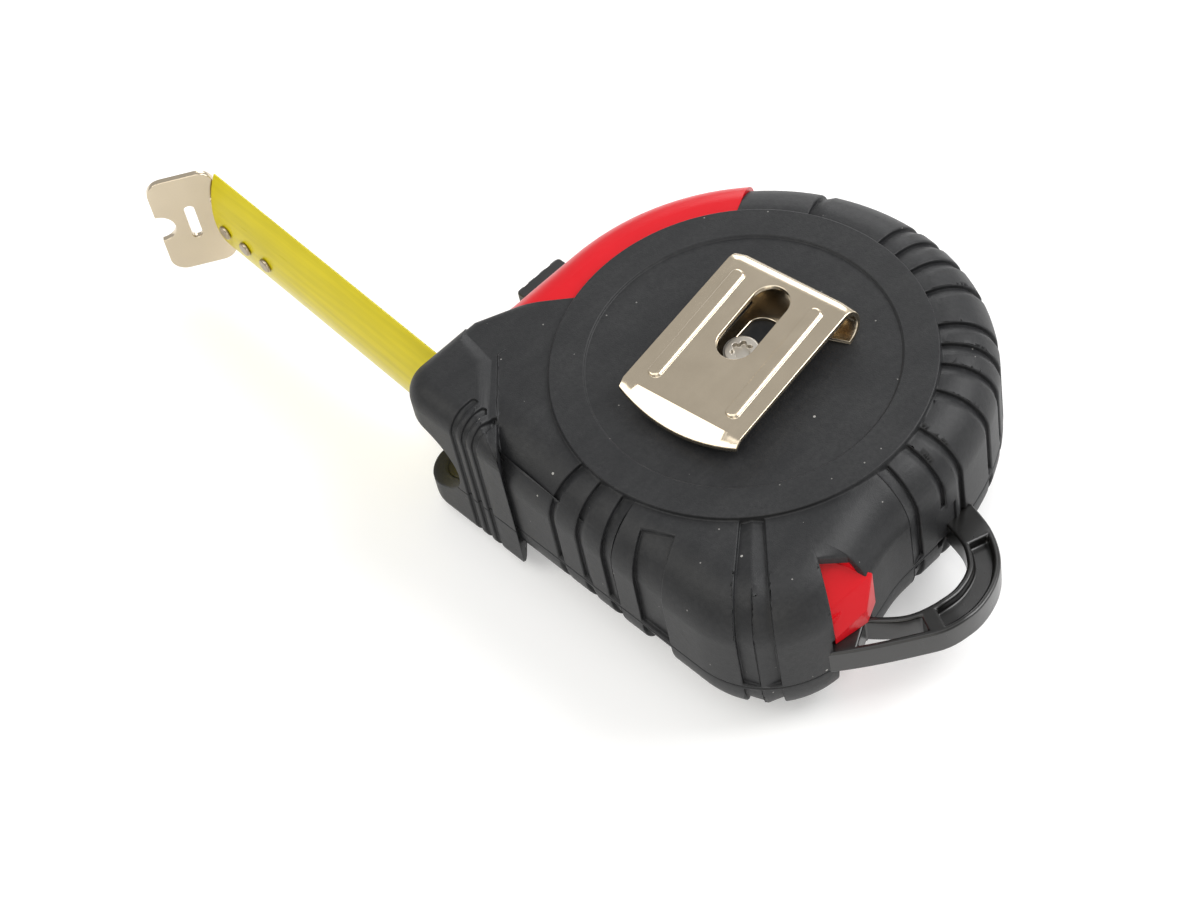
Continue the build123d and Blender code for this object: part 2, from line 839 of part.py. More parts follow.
hook_face_x = tape_end_x - hook_gap
hook_down = Vector(-sin(radians(hook_lean)), -cos(radians(hook_lean)), 0)
hook_out = Vector(-cos(radians(hook_lean)), sin(radians(hook_lean)), 0)
hook_plane = Plane((hook_face_x, hook_above_crown - tape_height, mid_z), x_dir=hook_down, z_dir=hook_out)

with BuildPart() as straight_hook:
    with BuildSketch(hook_plane) as plate:
        Rectangle(hook_height, hook_width, align=(Align.MIN, Align.CENTER))
        fillet(plate.vertices(), hook_corner_radius)
        with Locations((hook_height, 0)):
            Circle(hook_notch_radius, mode=Mode.SUBTRACT)
        with Locations((hook_height - hook_slot_rise, 0)):
            SlotOverall(hook_slot_length, hook_slot_width, rotation=90, mode=Mode.SUBTRACT)
    extrude(amount=hook_thickness)
    with BuildSketch(Plane.XZ.offset(-leg_y)):
        with Locations((hook_face_x - hook_leg_bite, mid_z)):
            Rectangle(hook_leg + hook_leg_bite, hook_leg_width, align=(Align.MIN, Align.CENTER))
    extrude(amount=-hook_thickness)
    with BuildSketch(Plane.XZ.offset(-leg_y)):
        for x, z in rivet_spots:
            with Locations((x + hook_float / 2, z)):
                SlotCenterToCenter(hook_float, 2 * (rivet_radius + rivet_clearance))
    extrude(amount=-hook_thickness, mode=Mode.SUBTRACT)

# The drawn tape leans a little as it leaves the mouth, and its hook with it
tape_turn = Pos(-nose_front, -tape_height) * Rot(0, 0, -tape_lean) * Pos(nose_front, tape_height)

with BuildPart() as tape_blade:
    with Locations(tape_turn):
        add(straight_blade.part)

with BuildPart() as hook_rivets:
    with Locations(tape_turn):
        add(straight_rivets.part)

with BuildPart() as end_hook:
    with Locations(tape_turn):
        add(straight_hook.part)

# Lock: thumb pad outside, neck through the slot and a bent tail that reaches over the tape
case_face_x = land_inset - nose_reach
pad_back_x = case_face_x - lock_gap
tail_face_x = jacket_wall + case_wall + tail_gap - nose_reach
neck_top_y = lock_centre + neck_length / 2
arm_bottom_y = arm_y - tail_thickness

with BuildPart() as lock_button:
    with BuildSketch(Plane.YZ.offset(pad_back_x)):
        with Locations((lock_centre, mid_z)):
            Rectangle(lock_length, lock_width)
    extrude(amount=-(nose_reach + lock_proud + pad_back_x))
    fillet(lock_button.faces().sort_by(Axis.X)[0].edges(), lock_edge_radius)
    with BuildSketch(Plane.YZ.offset(-nose_reach - lock_proud)):
        with Locations((lock_centre, mid_z)):
            with GridLocations(ridge_pitch, 1, ridge_count, 1):
                Rectangle(ridge_width, lock_width)
    extrude(amount=ridge_depth, mode=Mode.SUBTRACT)
    with BuildSketch(Plane.YZ.offset(pad_back_x)):
        with Locations((lock_centre, mid_z)):
            Rectangle(neck_length, neck_width)
    extrude(amount=tail_face_x - pad_back_x)
    with BuildSketch(middle):
        with BuildLine():
            Polyline(
                (tail_face_x, neck_top_y),
                (tail_face_x, arm_bottom_y),
                (arm_end_x, arm_bottom_y),
                (arm_end_x, arm_y),
                (tail_face_x + tail_thickness, arm_y),
                (tail_face_x + tail_thickness, neck_top_y),
                close=True,
            )
        make_face()
    extrude(amount=tail_width / 2, both=True)

with BuildPart() as brake_block:
    with BuildSketch(Plane.XZ.offset(-arm_bottom_y)):
        with Locations((arm_end_x, mid_z)):
            Rectangle(brake_length, tail_width, align=(Align.MAX, Align.CENTER))
    extrude(amount=brake_thickness)

# Belt clip: one strip folded over at its upper end, seen from the side
clip_plane = Plane.XY.rotated((0, 0, clip_lean))
clip_foot = clip_plane.x_dir * clip_shift + Vector(0, 0, disc_z)
clip_side = Plane(clip_foot, x_dir=clip_plane.y_dir, z_dir=clip_plane.x_dir)
clip_rise = clip_gap + 2 * clip_thickness
fold_y = clip_rear_y - clip_rise / 2
crease_y = clip_rear_y - clip_length + clip_lip
crease_z = clip_rise - clip_fall
leg_run = clip_plane.y_dir * (fold_y - crease_y) + Vector(0, 0, clip_fall)
leg_origin = clip_foot + clip_plane.y_dir * fold_y + Vector(0, 0, clip_rise)
leg_plane = Plane(leg_origin, x_dir=clip_plane.x_dir, z_dir=clip_plane.x_dir.cross(leg_run))

with BuildPart() as belt_clip:
    with BuildSketch(clip_side):
        with BuildLine():
            under = Line((clip_rear_y - clip_inner_leg, 0), (fold_y, 0))
            fold = JernArc(under @ 1, (1, 0), clip_rise / 2, 180)
            leg = Line(fold @ 1, (crease_y, crease_z))
            lip = Line(leg @ 1, (crease_y - clip_lip, crease_z - clip_lip_drop))
            tip = Line(lip @ 1, (lip @ 1) - Vector(0, clip_thickness))
            lip_back = Line(tip @ 1, (crease_y, crease_z - clip_thickness))
            leg_back = Line(lip_back @ 1, (fold_y, clip_rise - clip_thickness))
            fold_back = JernArc(leg_back @ 1, (1, 0), clip_gap / 2, -180)
            upper = Line(fold_back @ 1, (clip_rear_y - clip_inner_leg, clip_thickness))
            Line(upper @ 1, under @ 0)
        make_face()
    extrude(amount=clip_width / 2, both=True)
    with BuildSketch(leg_plane):
        with Locations((0, clip_window_y - fold_y)):
            SlotOverall(clip_window_length, clip_window_width, rotation=90)
    extrude(amount=-clip_thickness, mode=Mode.SUBTRACT)
    with BuildSketch(clip_plane.offset(disc_z)):
        Circle(screw_radius + screw_clearance)
        with Locations((0, clip_key_length / 2)):
            SlotOverall(clip_key_length, clip_key_width, rotation=90)
    extrude(amount=clip_thickness, mode=Mode.SUBTRACT)
    with BuildSketch(leg_plane):
        for side in (-1, 1):
            with Locations((side * (clip_width / 2 - clip_rib_inset), clip_rib_y - fold_y)):
                SlotOverall(clip_rib_length, clip_rib_width, rotation=90)
    extrude(amount=clip_rib_rise)

screw_seat_z = disc_z + clip_thickness

with BuildPart() as clip_screw:
    with BuildSketch(Plane.XY.offset(screw_seat_z)):
        Circle(screw_head_radius)
    extrude(amount=screw_head)
    fillet(clip_screw.faces().sort_by(Axis.Z)[-1].edges(), screw_head_edge)
    with BuildSketch(Plane.XY.offset(screw_seat_z + screw_head)):
        Circle(star_radius)
        with PolarLocations(star_radius, 6):
            Circle(star_lobe)
    extrude(amount=-star_depth, mode=Mode.SUBTRACT)
    with BuildSketch(Plane.XY.offset(screw_seat_z)):
        Circle(screw_radius)
    extrude(amount=inner_top_z - screw_seat_z)
    with BuildSketch(Plane.XY.offset(inner_top_z)):
        Circle(post_bore - seat_clearance)
    extrude(amount=-screw_bite)

with BuildPart() as wrist_loop:
    with BuildSketch(loop_plane.offset(-loop_height / 2)):
        add(loop_outline)
    extrude(amount=loop_height)
    with BuildSketch(loop_plane):
        with BuildLine():
            FilletPolyline(*loop_window, radius=loop_window_radius, close=True)
        make_face()
    extrude(amount=loop_height, both=True, mode=Mode.SUBTRACT)
    for face_z, depth in ((loop_height / 2, -loop_pocket_depth), (-loop_height / 2, loop_pocket_depth)):
        with BuildSketch(loop_plane.offset(face_z)):
            add(loop_outline)
            offset(amount=-loop_rail)
            with Locations((rear_reach + loop_rail, loop_pocket_start)):
                Rectangle(thickness, thickness, align=Align.MIN, mode=Mode.INTERSECT)
        extrude(amount=depth, mode=Mode.SUBTRACT)

os.makedirs("parts", exist_ok=True)
pieces = {
    "back_case": back_case,
    "front_case": front_case,
    "back_jacket": back_jacket,
    "front_jacket": front_jacket,
    "case_screws": case_screws,
    "centre_post": centre_post,
    "reel_drum": reel_drum,
    "reel_cover": reel_cover,
    "reel_washers": reel_washers,
    "power_spring": power_spring,
    "tape_coil": tape_coil,
    "tape_blade": tape_blade,
    "tape_lead": tape_lead,
    "hook_rivets": hook_rivets,
    "end_hook": end_hook,
    "lock_button": lock_button,
    "brake_block": brake_block,
    "belt_clip": belt_clip,
    "clip_screw": clip_screw,
    "wrist_loop": wrist_loop,
}
for name, piece in pieces.items():
    piece.part.label = name
    export_step(piece.part, f"parts/{name}.step")
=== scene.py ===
"""Looks of a rubber-armoured pocket tape measure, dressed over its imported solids."""
import json
import logging
import math
from dataclasses import dataclass
from enum import Enum
from typing import Any, Callable, Iterable, Sequence

import bmesh
import bpy
from mathutils import Matrix, Vector
from mathutils.bvhtree import BVHTree

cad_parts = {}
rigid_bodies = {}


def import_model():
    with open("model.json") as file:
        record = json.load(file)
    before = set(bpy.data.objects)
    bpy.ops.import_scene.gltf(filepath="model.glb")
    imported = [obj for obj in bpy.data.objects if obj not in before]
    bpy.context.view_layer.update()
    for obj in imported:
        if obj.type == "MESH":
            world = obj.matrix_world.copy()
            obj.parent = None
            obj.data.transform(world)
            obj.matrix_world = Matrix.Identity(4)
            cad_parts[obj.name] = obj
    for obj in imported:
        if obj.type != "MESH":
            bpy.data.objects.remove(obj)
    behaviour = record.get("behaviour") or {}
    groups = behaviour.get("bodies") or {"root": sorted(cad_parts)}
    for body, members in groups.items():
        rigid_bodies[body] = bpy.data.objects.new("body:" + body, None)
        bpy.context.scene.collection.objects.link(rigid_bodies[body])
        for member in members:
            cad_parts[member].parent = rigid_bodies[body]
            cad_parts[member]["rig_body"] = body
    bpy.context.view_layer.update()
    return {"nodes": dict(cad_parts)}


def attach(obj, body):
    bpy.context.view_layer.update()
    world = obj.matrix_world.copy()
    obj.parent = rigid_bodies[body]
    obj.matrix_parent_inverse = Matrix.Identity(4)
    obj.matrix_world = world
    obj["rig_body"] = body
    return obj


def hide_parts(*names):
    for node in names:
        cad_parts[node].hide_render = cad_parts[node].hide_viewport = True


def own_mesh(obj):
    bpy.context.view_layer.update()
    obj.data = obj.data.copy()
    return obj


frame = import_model()
LOG = logging.getLogger("tape_measure")
MM = 0.001

Colour = tuple[float, float, float]

# The drawn tape: where its crown leaves the mouth, how it leans and how it is curved
TAPE_ROOT = Vector((-35.7 * MM, -27.2 * MM, 14.0 * MM))
TAPE_LEAN = math.radians(2.2)
TAPE_OUTWARD = Vector((-math.cos(TAPE_LEAN), math.sin(TAPE_LEAN), 0.0))
TAPE_UPWARD = Vector((math.sin(TAPE_LEAN), math.cos(TAPE_LEAN), 0.0))
TAPE_CURVE = 18.2 * MM
TAPE_SHEET = 0.3 * MM
TAPE_OUT = 54.5 * MM

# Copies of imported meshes: vertices this near are one, and faces within this angle are flat
MERGE_REACH = 0.002 * MM
FLAT_ANGLE = math.radians(0.3)
# Angles between faces, in degrees, past which an edge is broken, and past which it is shaded sharp
SHARP_ANGLE = 28.0
CREASE_ANGLE = 35.0
# Share of a broken edge's width by which a vertex may lie off the moulded form
BEVEL_SLACK = 0.6


class Body(str, Enum):
    """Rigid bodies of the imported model."""

    CASE = "case"
    TAPE = "tape"
    HOOK = "hook"
    REEL = "reel"
    LOCK = "lock"


class Slot(str, Enum):
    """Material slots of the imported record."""

    ARMOUR = "armour"
    SHELL = "shell"
    NICKEL = "nickel"
    SCREW = "screw_steel"
    LOCK = "lock_black"
    LOOP = "loop_black"


class Value:
    """A number or colour that varies over a surface, held as a node's output socket."""

    def __init__(self, shader: "Shader", socket: bpy.types.NodeSocket) -> None:
        """Keep the socket together with the shader that owns it."""
        self.shader = shader
        self.socket = socket

    def __add__(self, other: Any) -> "Value":
        """Sum with a number or another value."""
        return self.shader.maths("ADD", self, other)

    def __sub__(self, other: Any) -> "Value":
        """Difference to a number or another value."""
        return self.shader.maths("SUBTRACT", self, other)

    def __mul__(self, other: Any) -> "Value":
        """Product with a number or another value."""
        return self.shader.maths("MULTIPLY", self, other)

    def __rsub__(self, other: Any) -> "Value":
        """Difference from a number."""
        return self.shader.maths("SUBTRACT", other, self)

    def __gt__(self, other: Any) -> "Value":
        """One where this is greater than the other, and zero elsewhere."""
        return self.shader.maths("GREATER_THAN", self, other)

    def __lt__(self, other: Any) -> "Value":
        """One where this is less than the other, and zero elsewhere."""
        return self.shader.maths("LESS_THAN", self, other)

    def __mod__(self, other: Any) -> "Value":
        """Remainder after division, which is never negative."""
        return self.shader.maths("FLOORED_MODULO", self, other)

    def __abs__(self) -> "Value":
        """Size without its sign."""
        return self.shader.maths("ABSOLUTE", self, 0.0)

    __radd__ = __add__
    __rmul__ = __mul__


@dataclass(frozen=True)
class Cloud:
    """Cloudy pattern: patches per metre, octaves, and the share that each finer octave keeps."""

    scale: float
    detail: float = 3.0
    rough: float = 0.5


@dataclass(frozen=True)
class Dust:
    """Sparse specks: cells per metre, radius as a share of a cell, and share of cells with one."""

    scale: float
    size: float
    share: float


class Shader:
    """Node tree of one finish, with its principled surface."""

    def __init__(self, name: str) -> None:
        """Start an empty material of that name."""
        self.material = bpy.data.materials.new(name)
        self.material.use_nodes = True
        self.tree = self.material.node_tree
        self.surface = next(n for n in self.tree.nodes if n.type == "BSDF_PRINCIPLED")

    def node(
        self,
        kind: str,
        settings: dict | None = None,
        sockets: dict | None = None,
        out: int | str = 0,
    ) -> Value:
        """Add one node.

        Args:
            kind: The node's type.
            settings: Properties of the node, and "stops" for a ramp's colours.
            sockets: Values or links of its inputs, by name or number.
            out: The output that is wanted.

        Returns:
            That output.
        """
        made = self.tree.nodes.new(kind)
        for key, value in (settings or {}).items():
            if key == "stops":
                self._stops(made.color_ramp, value)
            else:
                setattr(made, key, value)
        for key, value in (sockets or {}).items():
            self._feed(made.inputs[key], value)
        return Value(self, made.outputs[out])

    def maths(self, operation: str, left: Any, right: Any) -> Value:
        """One Math node on two numbers or values."""
        return self.node("ShaderNodeMath", {"operation": operation}, {0: left, 1: right})

    def mix(self, factor: Any, low: Any, high: Any) -> Value:
        """Mix of two colours by a factor."""
        return self.node("ShaderNodeMix", {"data_type": "RGBA"}, {0: factor, 6: low, 7: high}, 2)

    def place(self, scale: Sequence[float] = (1, 1, 1), turn: float = 0.0) -> Value:
        """Object coordinates, stretched along each axis and turned about Z."""
        where = self.node("ShaderNodeTexCoord", out="Object")
        sockets = {"Vector": where, "Scale": scale, "Rotation": (0, 0, turn)}
        return self.node("ShaderNodeMapping", None, sockets)

    def axes(self) -> tuple[Value, Value, Value]:
        """Object coordinates as three numbers, in metres."""
        where = self.node("ShaderNodeTexCoord", out="Object")
        split = self.node("ShaderNodeSeparateXYZ", None, {0: where}).socket.node
        return tuple(Value(self, split.outputs[i]) for i in range(3))

    def noise(self, cloud: Cloud, where: Value | None = None) -> Value:
        """Cloudy pattern, from zero to one.

        Args:
            cloud: Its sizes.
            where: Coordinates, or Object coordinates if left out.

        Returns:
            The pattern.
        """
        sockets = {
            "Vector": where or self.place(),
            "Scale": cloud.scale,
            "Detail": cloud.detail,
            "Roughness": cloud.rough,
        }
        return self.node("ShaderNodeTexNoise", None, sockets)

    def specks(self, dust: Dust) -> Value:
        """Mask that is one where a speck lies."""
        sockets = {"Vector": self.place(), "Scale": dust.scale}
        cells = self.node("ShaderNodeTexVoronoi", None, sockets)
        colour = Value(self, cells.socket.node.outputs["Color"])
        draw = self.node("ShaderNodeSeparateColor", None, {0: colour})
        return (cells < dust.size) * (draw < dust.share)

    def bump(self, height: Value, strength: float, distance: float) -> Value:
        """Normal that follows a height pattern."""
        sockets = {"Height": height, "Strength": strength, "Distance": distance}
        return self.node("ShaderNodeBump", None, sockets)

    def ramp(self, value: Value, stops: Sequence[tuple[float, float]]) -> Value:
        """Number read off a ramp of position and level pairs."""
        coloured = [(at, (level, level, level, 1)) for at, level in stops]
        return self.node("ShaderNodeValToRGB", {"stops": coloured}, {0: value})

    def set(self, **sockets: Any) -> None:
        """Feed the principled surface, with spaces in socket names written as underscores."""
        for key, value in sockets.items():
            self._feed(self.surface.inputs[key.replace("_", " ")], value)

    def _feed(self, socket: bpy.types.NodeSocket, value: Any) -> None:
        """Link a value to a socket, or set a plain number or colour on it."""
        if isinstance(value, Value):
            self.tree.links.new(value.socket, socket)
        elif isinstance(value, tuple) and len(value) == 3 and socket.type == "RGBA":
            socket.default_value = (*value, 1.0)
        else:
            socket.default_value = value

    @staticmethod
    def _stops(ramp: bpy.types.ColorRamp, stops: Sequence[tuple[float, Sequence[float]]]) -> None:
        """Give a ramp its stops."""
        while len(ramp.elements) < len(stops):
            ramp.elements.new(0.5)
        for element, (at, colour) in zip(ramp.elements, stops):
            element.position = at
            element.color = colour


@dataclass(frozen=True)
class Rubber:
    """Satin charcoal armour with a fine grain, scuffs and a little dust."""

    name: str = "armour_rubber"
    deep: Colour = (0.0088, 0.0092, 0.0104)
    worn: Colour = (0.0240, 0.0243, 0.0252)
    dust: Colour = (0.42, 0.41, 0.39)
    cloud: Cloud = Cloud(85, 4, 0.6)
    streak: Cloud = Cloud(420, 3, 0.55)
    streak_stretch: Sequence[float] = (1, 0.25, 1)
    streak_turn: float = 0.6
    mottle: Cloud = Cloud(1500, 2)
    wear: float = 3.2
    flecks: Dust = Dust(230, 0.042, 0.36)
    fine: Dust = Dust(640, 0.075, 0.16)
    dust_shares: Sequence[float] = (0.75, 0.4)
    roughness: float = 0.39
    uneven: Sequence[float] = (0.10, 0.08)
    specular: float = 0.28
    grains: Sequence[Cloud] = (Cloud(5200, 2), Cloud(900, 3))
    relief: float = 0.5
    depth: float = 0.09 * MM

    def make(self) -> bpy.types.Material:
        """Build the material."""
        s = Shader(self.name)
        cloud = s.noise(self.cloud)
        streak = s.noise(self.streak, s.place(self.streak_stretch, self.streak_turn))
        wear = cloud * streak * s.noise(self.mottle) * self.wear
        base = s.mix(wear, self.deep, self.worn)
        flecks = s.specks(self.flecks) * self.dust_shares[0]
        fine = s.specks(self.fine) * self.dust_shares[1]
        s.set(Base_Color=s.mix(flecks + fine, base, self.dust))
        s.set(Roughness=cloud * self.uneven[0] + streak * self.uneven[1] + self.roughness)
        small, large = (s.noise(grain) * 0.5 for grain in self.grains)
        s.set(Normal=s.bump(small + large, self.relief, self.depth))
        s.set(Specular_IOR_Level=self.specular)
        return s.material


@dataclass(frozen=True)
class Gloss:
    """Moulded glossy plastic with a faint moulding ripple."""

    name: str
    colour: Colour
    shade: Colour
    roughness: float = 0.2
    coat: float = 0.3
    coat_roughness: float = 0.08
    specular: float = 0.5
    cloud: Cloud = Cloud(120, 3)
    smear: Cloud = Cloud(700, 4)
    uneven: float = 0.14
    ripple: Cloud = Cloud(380, 2)
    relief: float = 0.08
    depth: float = 0.1 * MM

    def make(self) -> bpy.types.Material:
        """Build the material."""
        s = Shader(self.name)
        s.set(Base_Color=self.paint(s))
        s.set(Roughness=s.noise(self.smear) * self.uneven + self.roughness - self.uneven / 2)
        s.set(Normal=s.bump(s.noise(self.ripple), self.relief, self.depth))
        s.set(Coat_Weight=self.coat, Coat_Roughness=self.coat_roughness)
        s.set(Specular_IOR_Level=self.specular)
        return s.material

    def paint(self, s: Shader) -> Value:
        """Colour of the plastic, a little cloudy.

        Args:
            s: The shader that the colour belongs to.

        Returns:
            The colour.
        """
        return s.mix(s.noise(self.cloud), self.shade, self.colour)


@dataclass(frozen=True)
class ShellRed(Gloss):
    """Red case plastic, with black painted shade inside the mouth and the hook's recess."""

    name: str = "shell_red"
    colour: Colour = (0.56, 0.004, 0.011)
    shade: Colour = (0.49, 0.003, 0.008)
    roughness: float = 0.34
    coat: float = 0.08
    coat_roughness: float = 0.15
    specular: float = 0.25
    # Black painted shade over the nose, standing in for the shadow inside the mouth and the recess
    black: Colour = (0.008, 0.008, 0.009)
    mouth: Sequence[float] = (-15.0 * MM, -19.0 * MM)

    def paint(self, s: Shader) -> Value:
        """Colour of the plastic, red but for the nose, where black painted shade stands in for the
        shadow in the mouth.

        Args:
            s: The shader that the colour belongs to.

        Returns:
            The colour.
        """
        x, y, _ = s.axes()
        # Painted shade: the nose beyond these bounds turns black, as if in the mouth's shadow
        painted_shade_mask = (x < self.mouth[0]) * (y < self.mouth[1])
        return s.mix(painted_shade_mask, super().paint(s), self.black)


@dataclass(frozen=True)
class Plate:
    """Plated or bare pressed metal with fine rolling lines."""

    name: str
    colour: Colour
    shade: Colour
    roughness: float = 0.2
    relief: float = 0.06
    depth: float = 0.03 * MM
    cloud: Cloud = Cloud(160, 4, 0.6)
    lines: Cloud = Cloud(1500, 3, 0.6)
    line_stretch: Sequence[float] = (1, 0.04, 1)
    line_turn: float = 0.14
    uneven: Sequence[float] = (0.10, 0.08)

    def make(self) -> bpy.types.Material:
        """Build the material."""
        s = Shader(self.name)
        cloud = s.noise(self.cloud)
        lines = s.noise(self.lines, s.place(self.line_stretch, self.line_turn))
        s.set(Base_Color=s.mix(cloud, self.shade, self.colour), Metallic=1.0)
        spread = cloud * self.uneven[0] + lines * self.uneven[1]
        s.set(Roughness=spread + self.roughness - sum(self.uneven) / 2)
        s.set(Normal=s.bump(lines, self.relief, self.depth))
        return s.material


@dataclass(frozen=True)
class Lacquer:
    """Yellow lacquer of the tape, with its printed scale on the hollow side."""

    name: str = "tape_lacquer"
    yellow: Colour = (0.50, 0.415, 0.002)
    pale: Colour = (0.60, 0.50, 0.006)
    ink: Colour = (0.012, 0.012, 0.012)
    roughness: float = 0.3
    specular: float = 0.18
    uneven: float = 0.12
    streak: Cloud = Cloud(900, 3)
    streak_stretch: Sequence[float] = (0.03, 1, 1)
    cloud: Cloud = Cloud(140, 3)
    cloud_share: float = 0.25
    contrast: Sequence[tuple[float, float]] = ((0.35, 0.0), (0.65, 1.0))
    relief: float = 0.08
    depth: float = 0.04 * MM
    half_width: float = 9.1 * MM
    bare_end: float = 0.5 * MM
    # Pitch, width and length of each kind of tick, in millimetres
    ticks: Sequence[tuple[float, float, float]] = (
        (1.0, 0.16, 3.0),
        (5.0, 0.22, 4.6),
        (10.0, 0.28, 6.4),
    )

    def make(self) -> bpy.types.Material:
        """Build the material."""
        s = Shader(self.name)
        streak = s.noise(self.streak, s.place(self.streak_stretch))
        tone = streak * (1 - self.cloud_share) + s.noise(self.cloud) * self.cloud_share
        lacquer = s.mix(s.ramp(tone, self.contrast), self.yellow, self.pale)
        s.set(Base_Color=s.mix(self.scale(s), lacquer, self.ink))
        s.set(Roughness=streak * self.uneven + self.roughness - self.uneven / 2)
        s.set(Normal=s.bump(streak, self.relief, self.depth))
        s.set(Specular_IOR_Level=self.specular)
        return s.material

    def scale(self, s: Shader) -> Value:
        """Ticks along both edges of the hollow side: one where ink lies.

        Args:
            s: The shader that the mask belongs to.

        Returns:
            The mask.
        """
        x, y, z = s.axes()
        x, y, z = x - TAPE_ROOT.x, y - TAPE_ROOT.y, z - TAPE_ROOT.z
        along = TAPE_OUT - (x * TAPE_OUTWARD.x + y * TAPE_OUTWARD.y)
        rise = x * TAPE_UPWARD.x + y * TAPE_UPWARD.y - TAPE_CURVE
        hollow = (rise * rise + z * z) < (TAPE_CURVE - TAPE_SHEET / 2) ** 2
        edge = self.half_width - abs(z)
        ink: Any = 0.0
        for pitch, width, length in self.ticks:
            line = ((along + width / 2 * MM) % (pitch * MM)) < width * MM
            ink = s.maths("MAXIMUM", ink, line * (edge < length * MM))
        return ink * hollow * (along > self.bare_end)


@dataclass(frozen=True)
class Plain:
    """Matt moulded plastic, fibre or rubber with a fine grain."""

    name: str
    colour: Colour
    shade: Colour
    roughness: float = 0.5
    uneven: float = 0.12
    cloud: Cloud = Cloud(300, 4, 0.6)
    grain: Cloud = Cloud(3000, 2)
    relief: float = 0.15
    depth: float = 0.05 * MM

    def make(self) -> bpy.types.Material:
        """Build the material."""
        s = Shader(self.name)
        cloud = s.noise(self.cloud)
        s.set(Base_Color=s.mix(cloud, self.shade, self.colour))
        s.set(Roughness=cloud * self.uneven + self.roughness - self.uneven / 2)
        s.set(Normal=s.bump(s.noise(self.grain), self.relief, self.depth))
        return s.material


class Finishes:
    """All finishes of the tape measure, each made once."""

    def __init__(self) -> None:
        """Make the materials."""
        self.armour = Rubber().make()
        self.shell = ShellRed().make()
        self.loop = Gloss(
            "loop_black", (0.0062, 0.0060, 0.0056), (0.0040, 0.0038, 0.0036), 0.3, 0.12
        ).make()
        self.lock = Plain("lock_black", (0.014, 0.014, 0.015), (0.008, 0.008, 0.009), 0.42).make()
        self.nickel = Plate("nickel_plate", (0.63, 0.545, 0.42), (0.55, 0.47, 0.355), 0.2).make()
        self.screw = Plate(
            "screw_steel", (0.58, 0.54, 0.48), (0.44, 0.41, 0.36), 0.36, 0.12
        ).make()
        self.rivet = Plate("rivet_steel", (0.40, 0.34, 0.25), (0.30, 0.25, 0.18), 0.3).make()
        self.tape = Lacquer().make()
        self.ink = Plain("scale_ink", (0.014, 0.014, 0.014), (0.010, 0.010, 0.010), 0.4).make()
        self.reel = Plain("reel_plastic", (0.72, 0.71, 0.66), (0.66, 0.65, 0.60), 0.45).make()
        self.spring = Plate("spring_strip", (0.30, 0.33, 0.38), (0.22, 0.24, 0.28), 0.35).make()
        self.post = Plate("post_steel", (0.55, 0.55, 0.55), (0.48, 0.48, 0.48), 0.3).make()
        self.washer = Plain("washer_fibre", (0.42, 0.36, 0.26), (0.36, 0.30, 0.21), 0.7).make()
        self.brake = Plain("brake_rubber", (0.03, 0.03, 0.03), (0.02, 0.02, 0.02), 0.65).make()


